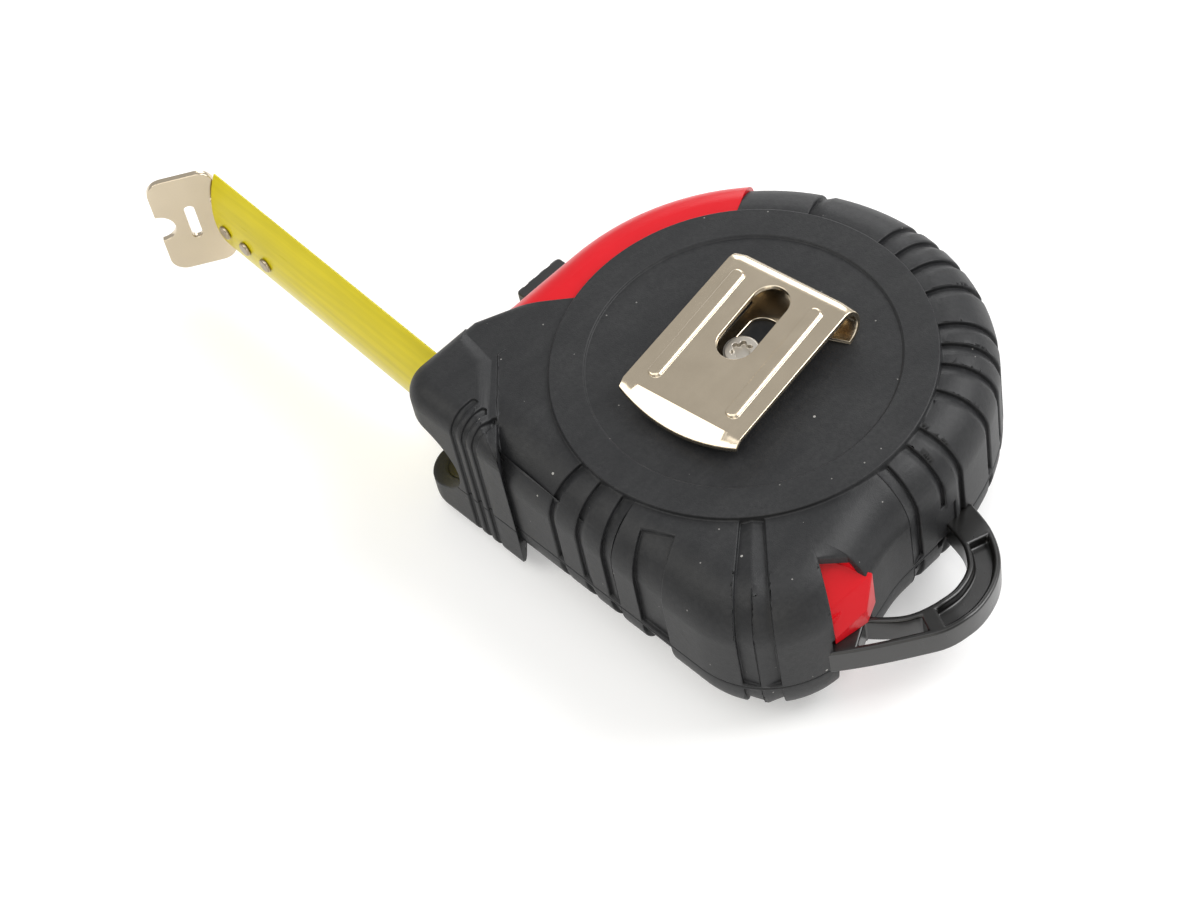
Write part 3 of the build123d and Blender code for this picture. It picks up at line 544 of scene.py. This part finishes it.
@dataclass
class Worker:
    """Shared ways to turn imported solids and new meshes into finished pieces."""

    finishes: Finishes

    @staticmethod
    def dress(node: str, material: bpy.types.Material) -> bpy.types.Object:
        """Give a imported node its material.

        Args:
            node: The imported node.
            material: Its finish.

        Returns:
            The node's own object.
        """
        piece = frame["nodes"][node]
        piece.data.materials.clear()
        piece.data.materials.append(material)
        LOG.info("dressed %s", node)
        return piece

    @staticmethod
    def copy(node: str) -> bmesh.types.BMesh:
        """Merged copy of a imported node, with its flat faces joined."""
        work = bmesh.new()
        work.from_mesh(frame["nodes"][node].data)
        bmesh.ops.remove_doubles(work, verts=work.verts, dist=MERGE_REACH)
        bmesh.ops.dissolve_limit(
            work,
            angle_limit=FLAT_ANGLE,
            verts=work.verts,
            edges=work.edges,
            use_dissolve_boundaries=False,
        )
        return work

    @staticmethod
    def sharp(edges: Iterable[bmesh.types.BMEdge], angle: float) -> list[bmesh.types.BMEdge]:
        """Those of the edges whose two faces meet at more than an angle, in degrees."""
        least = math.radians(angle)
        return [e for e in edges if len(e.link_faces) == 2 and e.calc_face_angle(0.0) > least]

    @staticmethod
    def break_edges(work: bmesh.types.BMesh, width: float, angle: float, rows: int) -> None:
        """Round every edge that is sharper than an angle.

        Args:
            work: The mesh.
            width: Width of the rounding, in metres.
            angle: Least angle between the faces, in degrees.
            rows: Segments across the rounding.
        """
        moulded = BVHTree.FromBMesh(work)
        Worker.bevel(work, Worker.sharp(work.edges, angle), width, rows)
        for vert in work.verts:
            nearest, _, _, far = moulded.find_nearest(vert.co)
            if far > width * BEVEL_SLACK:
                vert.co = nearest

    @staticmethod
    def bevel(work: bmesh.types.BMesh, edges: list, width: float, rows: int) -> None:
        """Round the given edges."""
        bmesh.ops.bevel(
            work,
            geom=edges,
            offset=width,
            offset_type="OFFSET",
            affect="EDGES",
            segments=rows,
            profile=0.5,
            material=-1,
            clamp_overlap=False,
        )

    @staticmethod
    def extrude(
        work: bmesh.types.BMesh, faces: list[bmesh.types.BMFace], keep: bool = True
    ) -> list[bmesh.types.BMVert]:
        """Extrude faces in place.

        Args:
            work: The mesh.
            faces: The faces.
            keep: Whether the faces themselves stay.

        Returns:
            The new vertices, which are still to be moved.
        """
        made = bmesh.ops.extrude_face_region(work, geom=faces, use_keep_orig=keep)
        return [v for v in made["geom"] if isinstance(v, bmesh.types.BMVert)]

    @staticmethod
    def cut(
        work: bmesh.types.BMesh,
        faces: list[bmesh.types.BMFace],
        place: Sequence[float],
        normal: Sequence[float],
    ) -> None:
        """Cut faces in two along a plane.

        Args:
            work: The mesh.
            faces: The faces.
            place: A point of the plane, in metres.
            normal: The plane's direction.
        """
        edges = dict.fromkeys(e for f in faces for e in f.edges)
        verts = dict.fromkeys(v for f in faces for v in f.verts)
        geom = [*faces, *edges, *verts]
        bmesh.ops.bisect_plane(work, geom=geom, plane_co=place, plane_no=normal)

    @staticmethod
    def soften(
        node: str, name: str, material: bpy.types.Material, slot: Slot, width: float
    ) -> None:
        """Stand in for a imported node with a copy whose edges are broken.

        Args:
            node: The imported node.
            name: Name of the new piece.
            material: Its finish.
            slot: Its record slot.
            width: Width of the broken edge, in metres.
        """
        work = Worker.copy(node)
        Worker.break_edges(work, width, SHARP_ANGLE, 2)
        body = Body(frame["nodes"][node]["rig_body"])
        Worker.finish(work, name, material, slot, body, (node,))

    @staticmethod
    def finish(
        work: bmesh.types.BMesh,
        name: str,
        material: bpy.types.Material,
        slot: Slot | None,
        body: Body,
        nodes: Sequence[str] = (),
        crease: float = CREASE_ANGLE,
    ) -> None:
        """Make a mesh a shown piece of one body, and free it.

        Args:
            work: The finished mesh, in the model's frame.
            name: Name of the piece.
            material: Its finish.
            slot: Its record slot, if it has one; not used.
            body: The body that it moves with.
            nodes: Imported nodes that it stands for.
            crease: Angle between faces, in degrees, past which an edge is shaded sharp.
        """
        mesh = bpy.data.meshes.new(name)
        work.to_mesh(mesh)
        work.free()
        piece = bpy.data.objects.new(name, mesh)
        bpy.context.scene.collection.objects.link(piece)
        mesh.materials.append(material)
        mesh.shade_smooth()
        mesh.set_sharp_from_angle(angle=math.radians(crease))
        even = piece.modifiers.new("even_shading", "WEIGHTED_NORMAL")
        even.keep_sharp = True
        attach(piece, body.value)
        if nodes:
            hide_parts(*nodes)
        LOG.info("made %s: %d faces", name, len(mesh.polygons))


@dataclass
class Armour(Worker):
    """Rubber jackets of both halves, with the two covers round the loop."""

    edge: float = 0.22 * MM
    notch_corner: Sequence[float] = (28.0 * MM, -16.0 * MM)
    notch_turns: Sequence[float] = (math.radians(-33), math.radians(27))
    hood_reaches: Sequence[float] = (2.6 * MM, 5.2 * MM)
    hood_laps: Sequence[float] = (-0.45 * MM, 0.45 * MM)
    socket_heights: Sequence[float] = (10.7 * MM, 17.2 * MM)
    socket_sides: Sequence[float] = (1.9 * MM, 7.4 * MM)
    lift: float = 0.03 * MM
    wall: float = 1.5 * MM
    cells: int = 8
    corner_angle: float = 45.0
    # Where rays towards the jacket start, and where a point lies if its ray meets nothing
    outside: float = 60.0 * MM
    shoulder: float = 20.0 * MM
    rear: float = 33.0 * MM

    def build(self) -> None:
        """Round the moulded edges of both jackets, and close the back one round the loop."""
        for node, name in (("back_jacket", "back_armour"), ("front_jacket", "front_armour")):
            self.soften(node, name, self.finishes.armour, Slot.ARMOUR, self.edge)
        jacket = self.copy("back_jacket")
        skin = BVHTree.FromBMesh(jacket)
        jacket.free()
        self.cover("notch_hood", skin, self.hood, Vector((0, 0, -1)))
        self.cover("socket_cover", skin, self.socket, Vector((-1, 0, 0)))

    def hood(self, skin: BVHTree, over: float, up: float) -> Vector:
        """Point of the hood over the notch's upper corner, drawn between the notch's two edges.

        Args:
            skin: The jacket.
            over: Share of the way from one edge to the other.
            up: Share of the way up to the corner.

        Returns:
            The point.
        """
        ends = []
        for reach, turn, lap in zip(self.hood_reaches, self.notch_turns, self.hood_laps):
            along = (1 - up) * reach
            x = self.notch_corner[0] + along * math.cos(turn) - lap * math.sin(turn)
            y = self.notch_corner[1] + along * math.sin(turn) + lap * math.cos(turn)
            place, _, _, _ = skin.ray_cast(Vector((x, y, self.outside)), Vector((0, 0, -1)))
            ends.append(place or Vector((x, y, self.shoulder)))
        return ends[0].lerp(ends[1], over)

    def socket(self, skin: BVHTree, over: float, up: float) -> Vector:
        """Point of the cover that closes the jacket round the upper root of the wrist loop.

        Args:
            skin: The jacket.
            over: Share of the way from one side of the root to the other.
            up: Share of the way up.

        Returns:
            The point.
        """
        low, high = self.socket_heights
        height = low + (high - low) * up
        ends = []
        for side in self.socket_sides:
            start = Vector((self.outside, side, height))
            place, _, _, _ = skin.ray_cast(start, Vector((-1, 0, 0)))
            ends.append(place or Vector((self.rear, side, height)))
        return ends[0].lerp(ends[1], over)

    def cover(
        self,
        name: str,
        skin: BVHTree,
        spot: Callable[[BVHTree, float, float], Vector],
        inward: Vector,
    ) -> None:
        """Draw a rubber sheet over the jacket and give it a wall.

        Args:
            name: Name of the piece.
            skin: The jacket.
            spot: Gives the sheet's point at a share of the way over and up.
            inward: Direction of its wall.
        """
        work = bmesh.new()
        bmesh.ops.create_grid(work, x_segments=self.cells, y_segments=self.cells, size=1.0)
        for vert in work.verts:
            place = spot(skin, (vert.co.x + 1) / 2, (vert.co.y + 1) / 2)
            vert.co = place - inward * self.lift
        sunk = self.extrude(work, list(work.faces))
        bmesh.ops.translate(work, verts=sunk, vec=inward * self.wall)
        bmesh.ops.recalc_face_normals(work, faces=work.faces)
        self.break_edges(work, self.edge, self.corner_angle, 2)
        self.finish(work, name, self.finishes.armour, Slot.ARMOUR, Body.CASE)


@dataclass
class Shell(Worker):
    """Red case halves with their screws, and the block in the notch."""

    crown: Sequence[Sequence[float]] = (
        (28.6, -16.3, 24.6),
        (34.3, -12.0, 21.3),
        (35.7, -15.0, 17.2),
        (34.8, -20.3, 15.4),
        (33.0, -19.3, 19.2),
    )
    slopes: Sequence[Sequence[int]] = ((0, 1, 4), (1, 2, 3, 4))
    block_floor: float = 14.4 * MM
    block_rise: float = 0.5 * MM
    block_edge: float = 0.2 * MM

    def build(self) -> None:
        """Dress the case and its screws, and fill the notch."""
        self.dress("back_case", self.finishes.shell)
        self.dress("front_case", self.finishes.shell)
        self.dress("case_screws", self.finishes.screw)
        self.block()

    def block(self) -> None:
        """Red block that fills the notch over the wrist loop, with a sloped top."""
        work = bmesh.new()
        top = [work.verts.new(Vector(corner) * MM) for corner in self.crown]
        faces = [work.faces.new([top[i] for i in slope]) for slope in self.slopes]
        for vert in self.extrude(work, faces):
            vert.co.z = self.block_floor
        bmesh.ops.recalc_face_normals(work, faces=work.faces)
        least = self.block_floor + self.block_rise
        edges = [e for e in work.edges if all(v.co.z > least for v in e.verts)]
        self.bevel(work, edges, self.block_edge, 3)
        self.finish(work, "notch_block", self.finishes.shell, Slot.SHELL, Body.CASE)


@dataclass
class Clip(Worker):
    """Belt clip and the screw that holds it."""

    edge: float = 0.12 * MM
    edge_angle: float = 40.0
    shading_angle: float = 22.0
    screw_edge: float = 0.1 * MM
    lean: float = math.radians(7.2)
    shift: float = 1.1 * MM
    half_width: float = 10.0 * MM
    # Place along the clip and height of the outer leg's two ends
    fold: Sequence[float] = (9.8 * MM, 33.2 * MM)
    crease: Sequence[float] = (-13.4 * MM, 32.2 * MM)
    seat: float = 28.4 * MM
    slack: float = 0.05 * MM
    press: float = 0.2
    press_way: Sequence[float] = (-1.5, 0.515, -1.0)
    stretch: float = 0.05
    lip: float = 2.6 * MM
    lip_ends: float = 1.1 * MM
    lip_middle: float = 2.6 * MM
    lip_rise: float = 0.5
    lip_tilt: float = 0.3
    lip_cuts: int = 13
    bead_place: float = 6.6 * MM
    bead_reach: float = 1.0 * MM
    bead_end: float = 12.2 * MM
    bead_foot: float = -0.1 * MM
    bead_crown: float = 0.4 * MM
    bead_angle: float = 30.0
    bead_edge: float = 0.42 * MM
    bead_spread: float = 0.3
    flank: float = 8.1 * MM
    flank_start: float = 0.3 * MM
    flank_fall: float = 0.24
    flank_ease: float = 2.0 * MM
    inner_end: float = 8.4 * MM
    inner_half: float = 7.0 * MM
    inner_share: float = 0.55
    key_half: float = 3.0 * MM
    key_start: float = 1.2 * MM
    key_spread: Sequence[float] = (0.55, 0.165, 0.0)

    def build(self) -> None:
        """Shape the clip along its own axes, lower its outer leg, and break its screw's edges."""
        work = self.copy("belt_clip")
        turn = Matrix.Rotation(self.lean, 3, "Z")
        bmesh.ops.rotate(work, verts=work.verts, cent=(0, 0, 0), matrix=turn.transposed())
        self.beads(work)
        self.bow(work)
        self.flanks(work)
        self.break_edges(work, self.edge, self.edge_angle, 3)
        self.tuck(work)
        bmesh.ops.rotate(work, verts=work.verts, cent=(0, 0, 0), matrix=turn)
        self.lower(work)
        self.finish(
            work,
            "clip_strip",
            self.finishes.nickel,
            Slot.NICKEL,
            Body.CASE,
            ("belt_clip",),
            self.shading_angle,
        )
        self.soften("clip_screw", "clip_bolt", self.finishes.screw, Slot.SCREW, self.screw_edge)

    def above(self, point: Vector) -> float:
        """Height of a point over the face of the outer leg, in metres."""
        slope = (self.fold[1] - self.crease[1]) / (self.fold[0] - self.crease[0])
        return point.z - self.crease[1] - slope * (point.y - self.crease[0])

    def beads(self, work: bmesh.types.BMesh) -> None:
        """Round the tops of the two pressed beads, and widen them."""
        crowns = [e for e in work.edges if all(self.above(v.co) > self.bead_crown for v in e.verts)]
        self.bevel(work, self.sharp(crowns, self.bead_angle), self.bead_edge, 5)
        for vert in work.verts:
            for middle in (self.shift - self.bead_place, self.shift + self.bead_place):
                off = vert.co.x - middle
                near = abs(off) < self.bead_reach and abs(vert.co.y) < self.bead_end
                if near and self.above(vert.co) > self.bead_foot:
                    vert.co.x += off * self.bead_spread

    def bow(self, work: bmesh.types.BMesh) -> None:
        """Bow the free edge of the lip, which is broad in its middle and narrow at its ends."""
        for i in range(1, self.lip_cuts):
            across = self.shift - self.half_width + 2 * self.half_width * i / self.lip_cuts
            lip = [f for f in work.faces if f.calc_center_median().y < self.crease[0]]
            self.cut(work, lip, (across, 0, 0), (1, 0, 0))
        for vert in work.verts:
            past = self.crease[0] - vert.co.y
            if past > self.slack:
                side = (vert.co.x - self.shift) / self.half_width
                reach = self.lip_ends + (self.lip_middle - self.lip_ends) * (1 - side * side)
                share = reach / self.lip
                rise = self.lip_rise * past * (1 - share) - past * share * self.lip_tilt
                vert.co += Vector((0, past * (1 - share), rise))

    def flanks(self, work: bmesh.types.BMesh) -> None:
        """Let both long sides of the outer leg fall away outside the beads."""
        for side in (-1, 1):
            leg = [f for f in work.faces if f.calc_center_median().z > self.seat]
            self.cut(work, leg, (self.shift + side * self.flank, 0, 0), (1, 0, 0))
        start = self.crease[0] + self.flank_start
        for vert in work.verts:
            past = abs(vert.co.x - self.shift) - self.flank
            rise = vert.co.z - self.seat
            if past > 0 and rise > 0 and vert.co.y > start:
                vert.co.z -= past * self.flank_fall * min(1.0, rise / self.flank_ease)

    def tuck(self, work: bmesh.types.BMesh) -> None:
        """Narrow the inner leg, so that the outer one covers it, and widen its key hole."""
        self.cut(work, list(work.faces), (0, self.inner_end, 0), (0, 1, 0))
        inner = [v for v in work.verts if v.co.z < self.seat]
        key = [v for v in inner if self.key_start < v.co.y < self.inner_end]
        key = [v for v in key if abs(v.co.x) < self.key_half]
        middle = sum((v.co for v in key), Vector()) / max(1, len(key))
        for vert in key:
            vert.co += (vert.co - middle) * Vector(self.key_spread)
        for vert in inner:
            off = vert.co.x - self.shift
            if vert.co.y < self.inner_end + self.slack and abs(off) > self.inner_half:
                vert.co.x = self.shift + off * self.inner_share

    def lower(self, work: bmesh.types.BMesh) -> None:
        """Press the outer leg towards the case, and lengthen it a little."""
        along = Vector((-math.sin(self.lean), math.cos(self.lean), 0.0))
        for vert in work.verts:
            far = vert.co.dot(along)
            lip = far < self.crease[0] and vert.co.z > self.seat
            drop = max(0.0, (self.crease[1] if lip else vert.co.z) - self.seat) * self.press
            vert.co += Vector(self.press_way) * drop
            vert.co += along * far * min(1.0, drop / MM) * self.stretch


@dataclass
class Tape(Worker):
    """Steel tape with its numbers, hook and rivets."""

    edge: float = 0.12 * MM
    last: int = 4
    pitch: float = 10.0 * MM
    tall: float = 5.2 * MM
    stand_back: float = 0.75
    lift: float = 0.02 * MM
    lead_keep: float = 0.02
    lead_way: float = 35.7 * MM
    rivet_edge: float = 0.25 * MM
    rivet_share: float = 0.8

    def build(self) -> None:
        """Dress the tape, print its numbers, and break the hook's and the rivets' edges."""
        self.dress("tape_blade", self.finishes.tape)
        lead = self.dress("tape_lead", self.finishes.tape)
        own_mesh(lead)
        self.dress("tape_coil", self.finishes.tape)
        self.numbers()
        self.soften("end_hook", "hook_plate", self.finishes.nickel, Slot.NICKEL, self.edge)
        self.rivets()

    def rivets(self) -> None:
        """Round the three rivet heads and draw them in about their own middles."""
        work = self.copy("hook_rivets")
        self.break_edges(work, self.rivet_edge, SHARP_ANGLE, 3)
        waiting = set(work.verts)
        while waiting:
            rivet = self.take(waiting)
            middle = sum((v.co for v in rivet), Vector()) / len(rivet)
            for vert in rivet:
                off = vert.co - middle
                level = TAPE_UPWARD * off.dot(TAPE_UPWARD)
                vert.co = middle + level + (off - level) * self.rivet_share
        body = Body(frame["nodes"]["hook_rivets"]["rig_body"])
        self.finish(work, "rivet_heads", self.finishes.rivet, Slot.NICKEL, body, ("hook_rivets",))

    @staticmethod
    def take(waiting: set[bmesh.types.BMVert]) -> list[bmesh.types.BMVert]:
        """Take one connected group out of a set of vertices.

        Args:
            waiting: The vertices, which lose the group.

        Returns:
            The group.
        """
        group = [waiting.pop()]
        for vert in group:
            near = {e.other_vert(vert) for e in vert.link_edges} & waiting
            waiting.difference_update(near)
            group.extend(near)
        return group

    def numbers(self) -> None:
        """Print a number at each centimetre on the hollow side."""
        work = bmesh.new()
        for centimetre in range(1, self.last + 1):
            curve = bpy.data.curves.new("number", "FONT")
            curve.body = str(centimetre)
            curve.size = self.tall
            curve.align_x = "CENTER"
            curve.align_y = "CENTER"
            text = bpy.data.objects.new("number", curve)
            bpy.context.scene.collection.objects.link(text)
            bpy.context.view_layer.update()
            flat = bpy.data.meshes.new_from_object(text)
            along = TAPE_OUT - centimetre * self.pitch - self.tall * self.stand_back
            flat.transform(Matrix.Translation((0, along, 0)))
            work.from_mesh(flat)
            bpy.data.objects.remove(text)
            bpy.data.meshes.remove(flat)
        bmesh.ops.triangulate(work, faces=work.faces)
        bmesh.ops.subdivide_edges(work, edges=work.edges, cuts=1)
        inner = TAPE_CURVE - TAPE_SHEET - self.lift
        for vert in work.verts:
            turn = vert.co.x / inner
            rise = TAPE_CURVE - inner * math.cos(turn)
            side = Vector((0, 0, inner * math.sin(turn)))
            vert.co = TAPE_ROOT + TAPE_OUTWARD * vert.co.y + TAPE_UPWARD * rise + side
        self.finish(work, "scale_numbers", self.finishes.ink, None, Body.TAPE)


@dataclass
class Lock(Worker):
    """Thumb lock with its brake pad."""

    edge: float = 0.25 * MM

    def build(self) -> None:
        """Break the button's edges and dress the brake pad."""
        self.soften("lock_button", "thumb_button", self.finishes.lock, Slot.LOCK, self.edge)
        self.dress("brake_block", self.finishes.brake)


@dataclass
class Loop(Worker):
    """Wrist loop at the rear corner: a bent band with two rails and a channel."""

    outer: Sequence[Sequence[float]] = (
        (33.2, -24.2),
        (36.3, -20.8),
        (39.3, -17.0),
        (42.4, -12.6),
        (44.6, -9.0),
        (45.4, -5.1),
        (44.9, -1.3),
        (43.4, 2.4),
        (40.8, 5.6),
        (36.8, 8.2),
        (32.0, 9.6),
    )
    inner: Sequence[Sequence[float]] = (
        (29.6, -16.6),
        (33.4, -15.2),
        (36.6, -12.9),
        (38.9, -10.4),
        (40.2, -7.2),
        (40.6, -4.4),
        (40.4, -2.4),
        (39.7, -0.2),
        (38.5, 1.5),
        (35.8, 3.4),
        (31.4, 4.6),
    )
    steps: int = 5
    top: float = 14.3 * MM
    tall: float = 4.5 * MM
    rail: float = 0.95 * MM
    channel: float = 1.5 * MM
    # Steps along the band at which the cross bar and the open middle begin and end
    bar: Sequence[int] = (17, 20)
    open: Sequence[int] = (7, 44)
    fall: float = 2.2 * MM
    fall_start: float = -6.0 * MM
    fall_way: float = 14.0 * MM
    edge: float = 0.35 * MM
    edge_angle: float = 40.0

    def build(self) -> None:
        """Bend the band, sink its channel past the cross bar, and round its edges."""
        work = bmesh.new()
        sunk_faces = self.band(work)
        bmesh.ops.recalc_face_normals(work, faces=work.faces)
        lower = self.extrude(work, list(work.faces))
        bmesh.ops.translate(work, verts=lower, vec=(0, 0, -self.tall))
        sunk = self.extrude(work, sunk_faces, keep=False)
        bmesh.ops.delete(work, geom=sunk_faces, context="FACES")
        bmesh.ops.translate(work, verts=sunk, vec=(0, 0, -self.channel))
        bmesh.ops.recalc_face_normals(work, faces=work.faces)
        self.break_edges(work, self.edge, self.edge_angle, 3)
        self.finish(
            work,
            "cord_loop",
            self.finishes.loop,
            Slot.LOOP,
            Body.CASE,
            ("wrist_loop",),
            self.edge_angle,
        )

    def band(self, work: bmesh.types.BMesh) -> list[bmesh.types.BMFace]:
        """Draw the band's top face: two rails, and the channel between them.

        Args:
            work: The mesh that the faces go to.

        Returns:
            The faces of the channel that are sunk; before the bar the band is open.
        """
        lines: list[list[bmesh.types.BMVert]] = [[], [], [], []]
        for far, near in zip(self.smooth(self.outer), self.smooth(self.inner)):
            share = self.rail / MM / (far - near).length
            for line, part in zip(lines, (0.0, share, 1 - share, 1.0)):
                spot = far.lerp(near, part) * MM
                fall = self.fall * min(1.0, max(0.0, (spot.y - self.fall_start) / self.fall_way))
                line.append(work.verts.new((spot.x, spot.y, self.top - fall)))
        sunk = []
        for i in range(len(lines[0]) - 1):
            for k, (left, right) in enumerate(zip(lines, lines[1:])):
                if k == 1 and self.open[0] <= i < self.bar[0]:
                    continue
                face = work.faces.new((left[i], left[i + 1], right[i + 1], right[i]))
                if k == 1 and self.bar[1] <= i < self.open[1]:
                    sunk.append(face)
        return sunk

    def smooth(self, points: Sequence[Sequence[float]]) -> list[Vector]:
        """Smooth line through the points of one rail.

        Args:
            points: Plan points, in millimetres.

        Returns:
            The line's points, the same number between each pair.
        """
        line = []
        ends = [points[0], *points, points[-1]]
        for k in range(1, len(points)):
            before, start, stop, after = (Vector(ends[k + j]) for j in (-1, 0, 1, 2))
            for i in range(self.steps):
                u = i / self.steps
                bend = (stop - before) * u + (before * 2 - start * 5 + stop * 4 - after) * u * u
                bend += (start * 3 - before - stop * 3 + after) * u * u * u
                line.append(start + bend * 0.5)
        return [*line, Vector(points[-1])]


@dataclass
class Reel(Worker):
    """Reel, spring and post inside the case."""

    def build(self) -> None:
        """Dress the inner pieces."""
        self.dress("reel_drum", self.finishes.reel)
        self.dress("reel_cover", self.finishes.reel)
        self.dress("power_spring", self.finishes.spring)
        self.dress("centre_post", self.finishes.post)
        self.dress("reel_washers", self.finishes.washer)


@dataclass(frozen=True)
class Lamp:
    """One soft square lamp that faces the object: its place and side in metres, power in watts."""

    name: str
    place: Sequence[float]
    side: float
    power: float
    tint: Colour = (1.0, 1.0, 1.0)
    target: Sequence[float] = (0.0, 0.0, 0.02)

    def build(self) -> None:
        """Hang the lamp."""
        data = bpy.data.lights.new(self.name, "AREA")
        data.size = self.side
        data.energy = self.power
        data.color = self.tint
        lamp = bpy.data.objects.new(self.name, data)
        lamp.location = self.place
        way = Vector(self.target) - Vector(self.place)
        lamp.rotation_euler = way.to_track_quat("-Z", "Y").to_euler()
        bpy.context.scene.collection.objects.link(lamp)


@dataclass
class Studio:
    """White table, soft lamps and the camera of the photograph."""

    focal: float = 90.0
    sensor: float = 36.0
    nearest: float = 0.01
    place: Sequence[float] = (0.2016, -0.1632, 0.3479)
    across: Sequence[float] = (0.5609, 0.8279, 0.0)
    upward: Sequence[float] = (-0.6546, 0.4435, 0.6122)
    roll: float = math.radians(-13.10)
    lower: float = 4.0 / 1200.0
    # Strength of the surround as light, in reflections and to the camera
    surround: float = 0.46
    reflected: float = 0.62
    shown: float = 1.0
    table_radius: float = 6.0
    table_drop: float = 0.05 * MM
    table_colour: Colour = (0.74, 0.74, 0.74)
    table_glow: float = 0.30
    lamps: Sequence[Lamp] = (
        Lamp("key_lamp", (0.35, 0.60, 0.62), 0.6, 7.5),
        Lamp("side_lamp", (0.55, -0.50, 0.36), 0.5, 1.4, (1.0, 0.96, 0.85)),
        Lamp("lip_lamp", (-0.33, -0.54, 0.64), 0.5, 2.2, (1.0, 0.98, 0.92)),
        Lamp("fold_lamp", (-0.50, 0.68, 0.42), 0.45, 2.2),
        Lamp("top_lamp", (0.05, -0.15, 0.95), 0.7, 2.4),
    )

    def build(self) -> None:
        """Set the whole stage."""
        self.camera()
        self.world()
        self.floor()
        for lamp in self.lamps:
            lamp.build()
        bpy.context.scene.view_settings.view_transform = "Standard"

    def camera(self) -> None:
        """Place the camera where the photograph was taken from."""
        data = bpy.data.cameras.new("camera")
        data.lens = self.focal
        data.sensor_width = self.sensor
        data.clip_start = self.nearest
        data.shift_y = self.lower
        across, upward = Vector(self.across), Vector(self.upward)
        right = across * math.cos(self.roll) + upward * math.sin(self.roll)
        up = upward * math.cos(self.roll) - across * math.sin(self.roll)
        right.normalize()
        up = (up - right * up.dot(right)).normalized()
        back = right.cross(up)
        camera = bpy.data.objects.new("camera", data)
        turned = Matrix((right, up, back)).transposed().to_4x4()
        camera.matrix_world = Matrix.Translation(Vector(self.place)) @ turned
        bpy.context.scene.collection.objects.link(camera)
        bpy.context.scene.camera = camera

    def world(self) -> None:
        """White surround that lights softly and shows as white."""
        world = bpy.data.worlds.new("surround")
        world.use_nodes = True
        bpy.context.scene.world = world
        tree = world.node_tree
        back = next(n for n in tree.nodes if n.type == "BACKGROUND")
        back.inputs["Color"].default_value = (1, 1, 1, 1)
        path = tree.nodes.new("ShaderNodeLightPath")
        ray = tree.nodes.new("ShaderNodeMath")
        ray.operation = "MAXIMUM"
        tree.links.new(path.outputs["Is Camera Ray"], ray.inputs[0])
        tree.links.new(path.outputs["Is Transmission Ray"], ray.inputs[1])
        shine = tree.nodes.new("ShaderNodeMapRange")
        shine.inputs["To Min"].default_value = self.surround
        shine.inputs["To Max"].default_value = self.reflected
        tree.links.new(path.outputs["Is Glossy Ray"], shine.inputs["Value"])
        level = tree.nodes.new("ShaderNodeMapRange")
        level.inputs["To Max"].default_value = self.shown
        tree.links.new(shine.outputs[0], level.inputs["To Min"])
        tree.links.new(ray.outputs[0], level.inputs["Value"])
        tree.links.new(level.outputs[0], back.inputs["Strength"])

    def floor(self) -> None:
        """White table top that keeps a soft shadow."""
        work = bmesh.new()
        bmesh.ops.create_circle(work, cap_ends=True, radius=self.table_radius, segments=96)
        bmesh.ops.translate(work, verts=work.verts, vec=(0, 0, -self.table_drop))
        mesh = bpy.data.meshes.new("table_top")
        work.to_mesh(mesh)
        work.free()
        table = bpy.data.objects.new("table_top", mesh)
        bpy.context.scene.collection.objects.link(table)
        s = Shader("table_white")
        s.set(Base_Color=self.table_colour, Roughness=0.9, Specular_IOR_Level=0.0)
        s.set(Emission_Color=(1, 1, 1), Emission_Strength=self.table_glow)
        mesh.materials.append(s.material)


def main() -> None:
    """Build every sub-assembly and the stage."""
    logging.basicConfig(level=logging.INFO, format="%(name)s: %(message)s")
    finishes = Finishes()
    for part in (Armour, Shell, Clip, Tape, Lock, Loop, Reel):
        part(finishes).build()
    Studio().build()


if __name__ == "__main__":
    main()
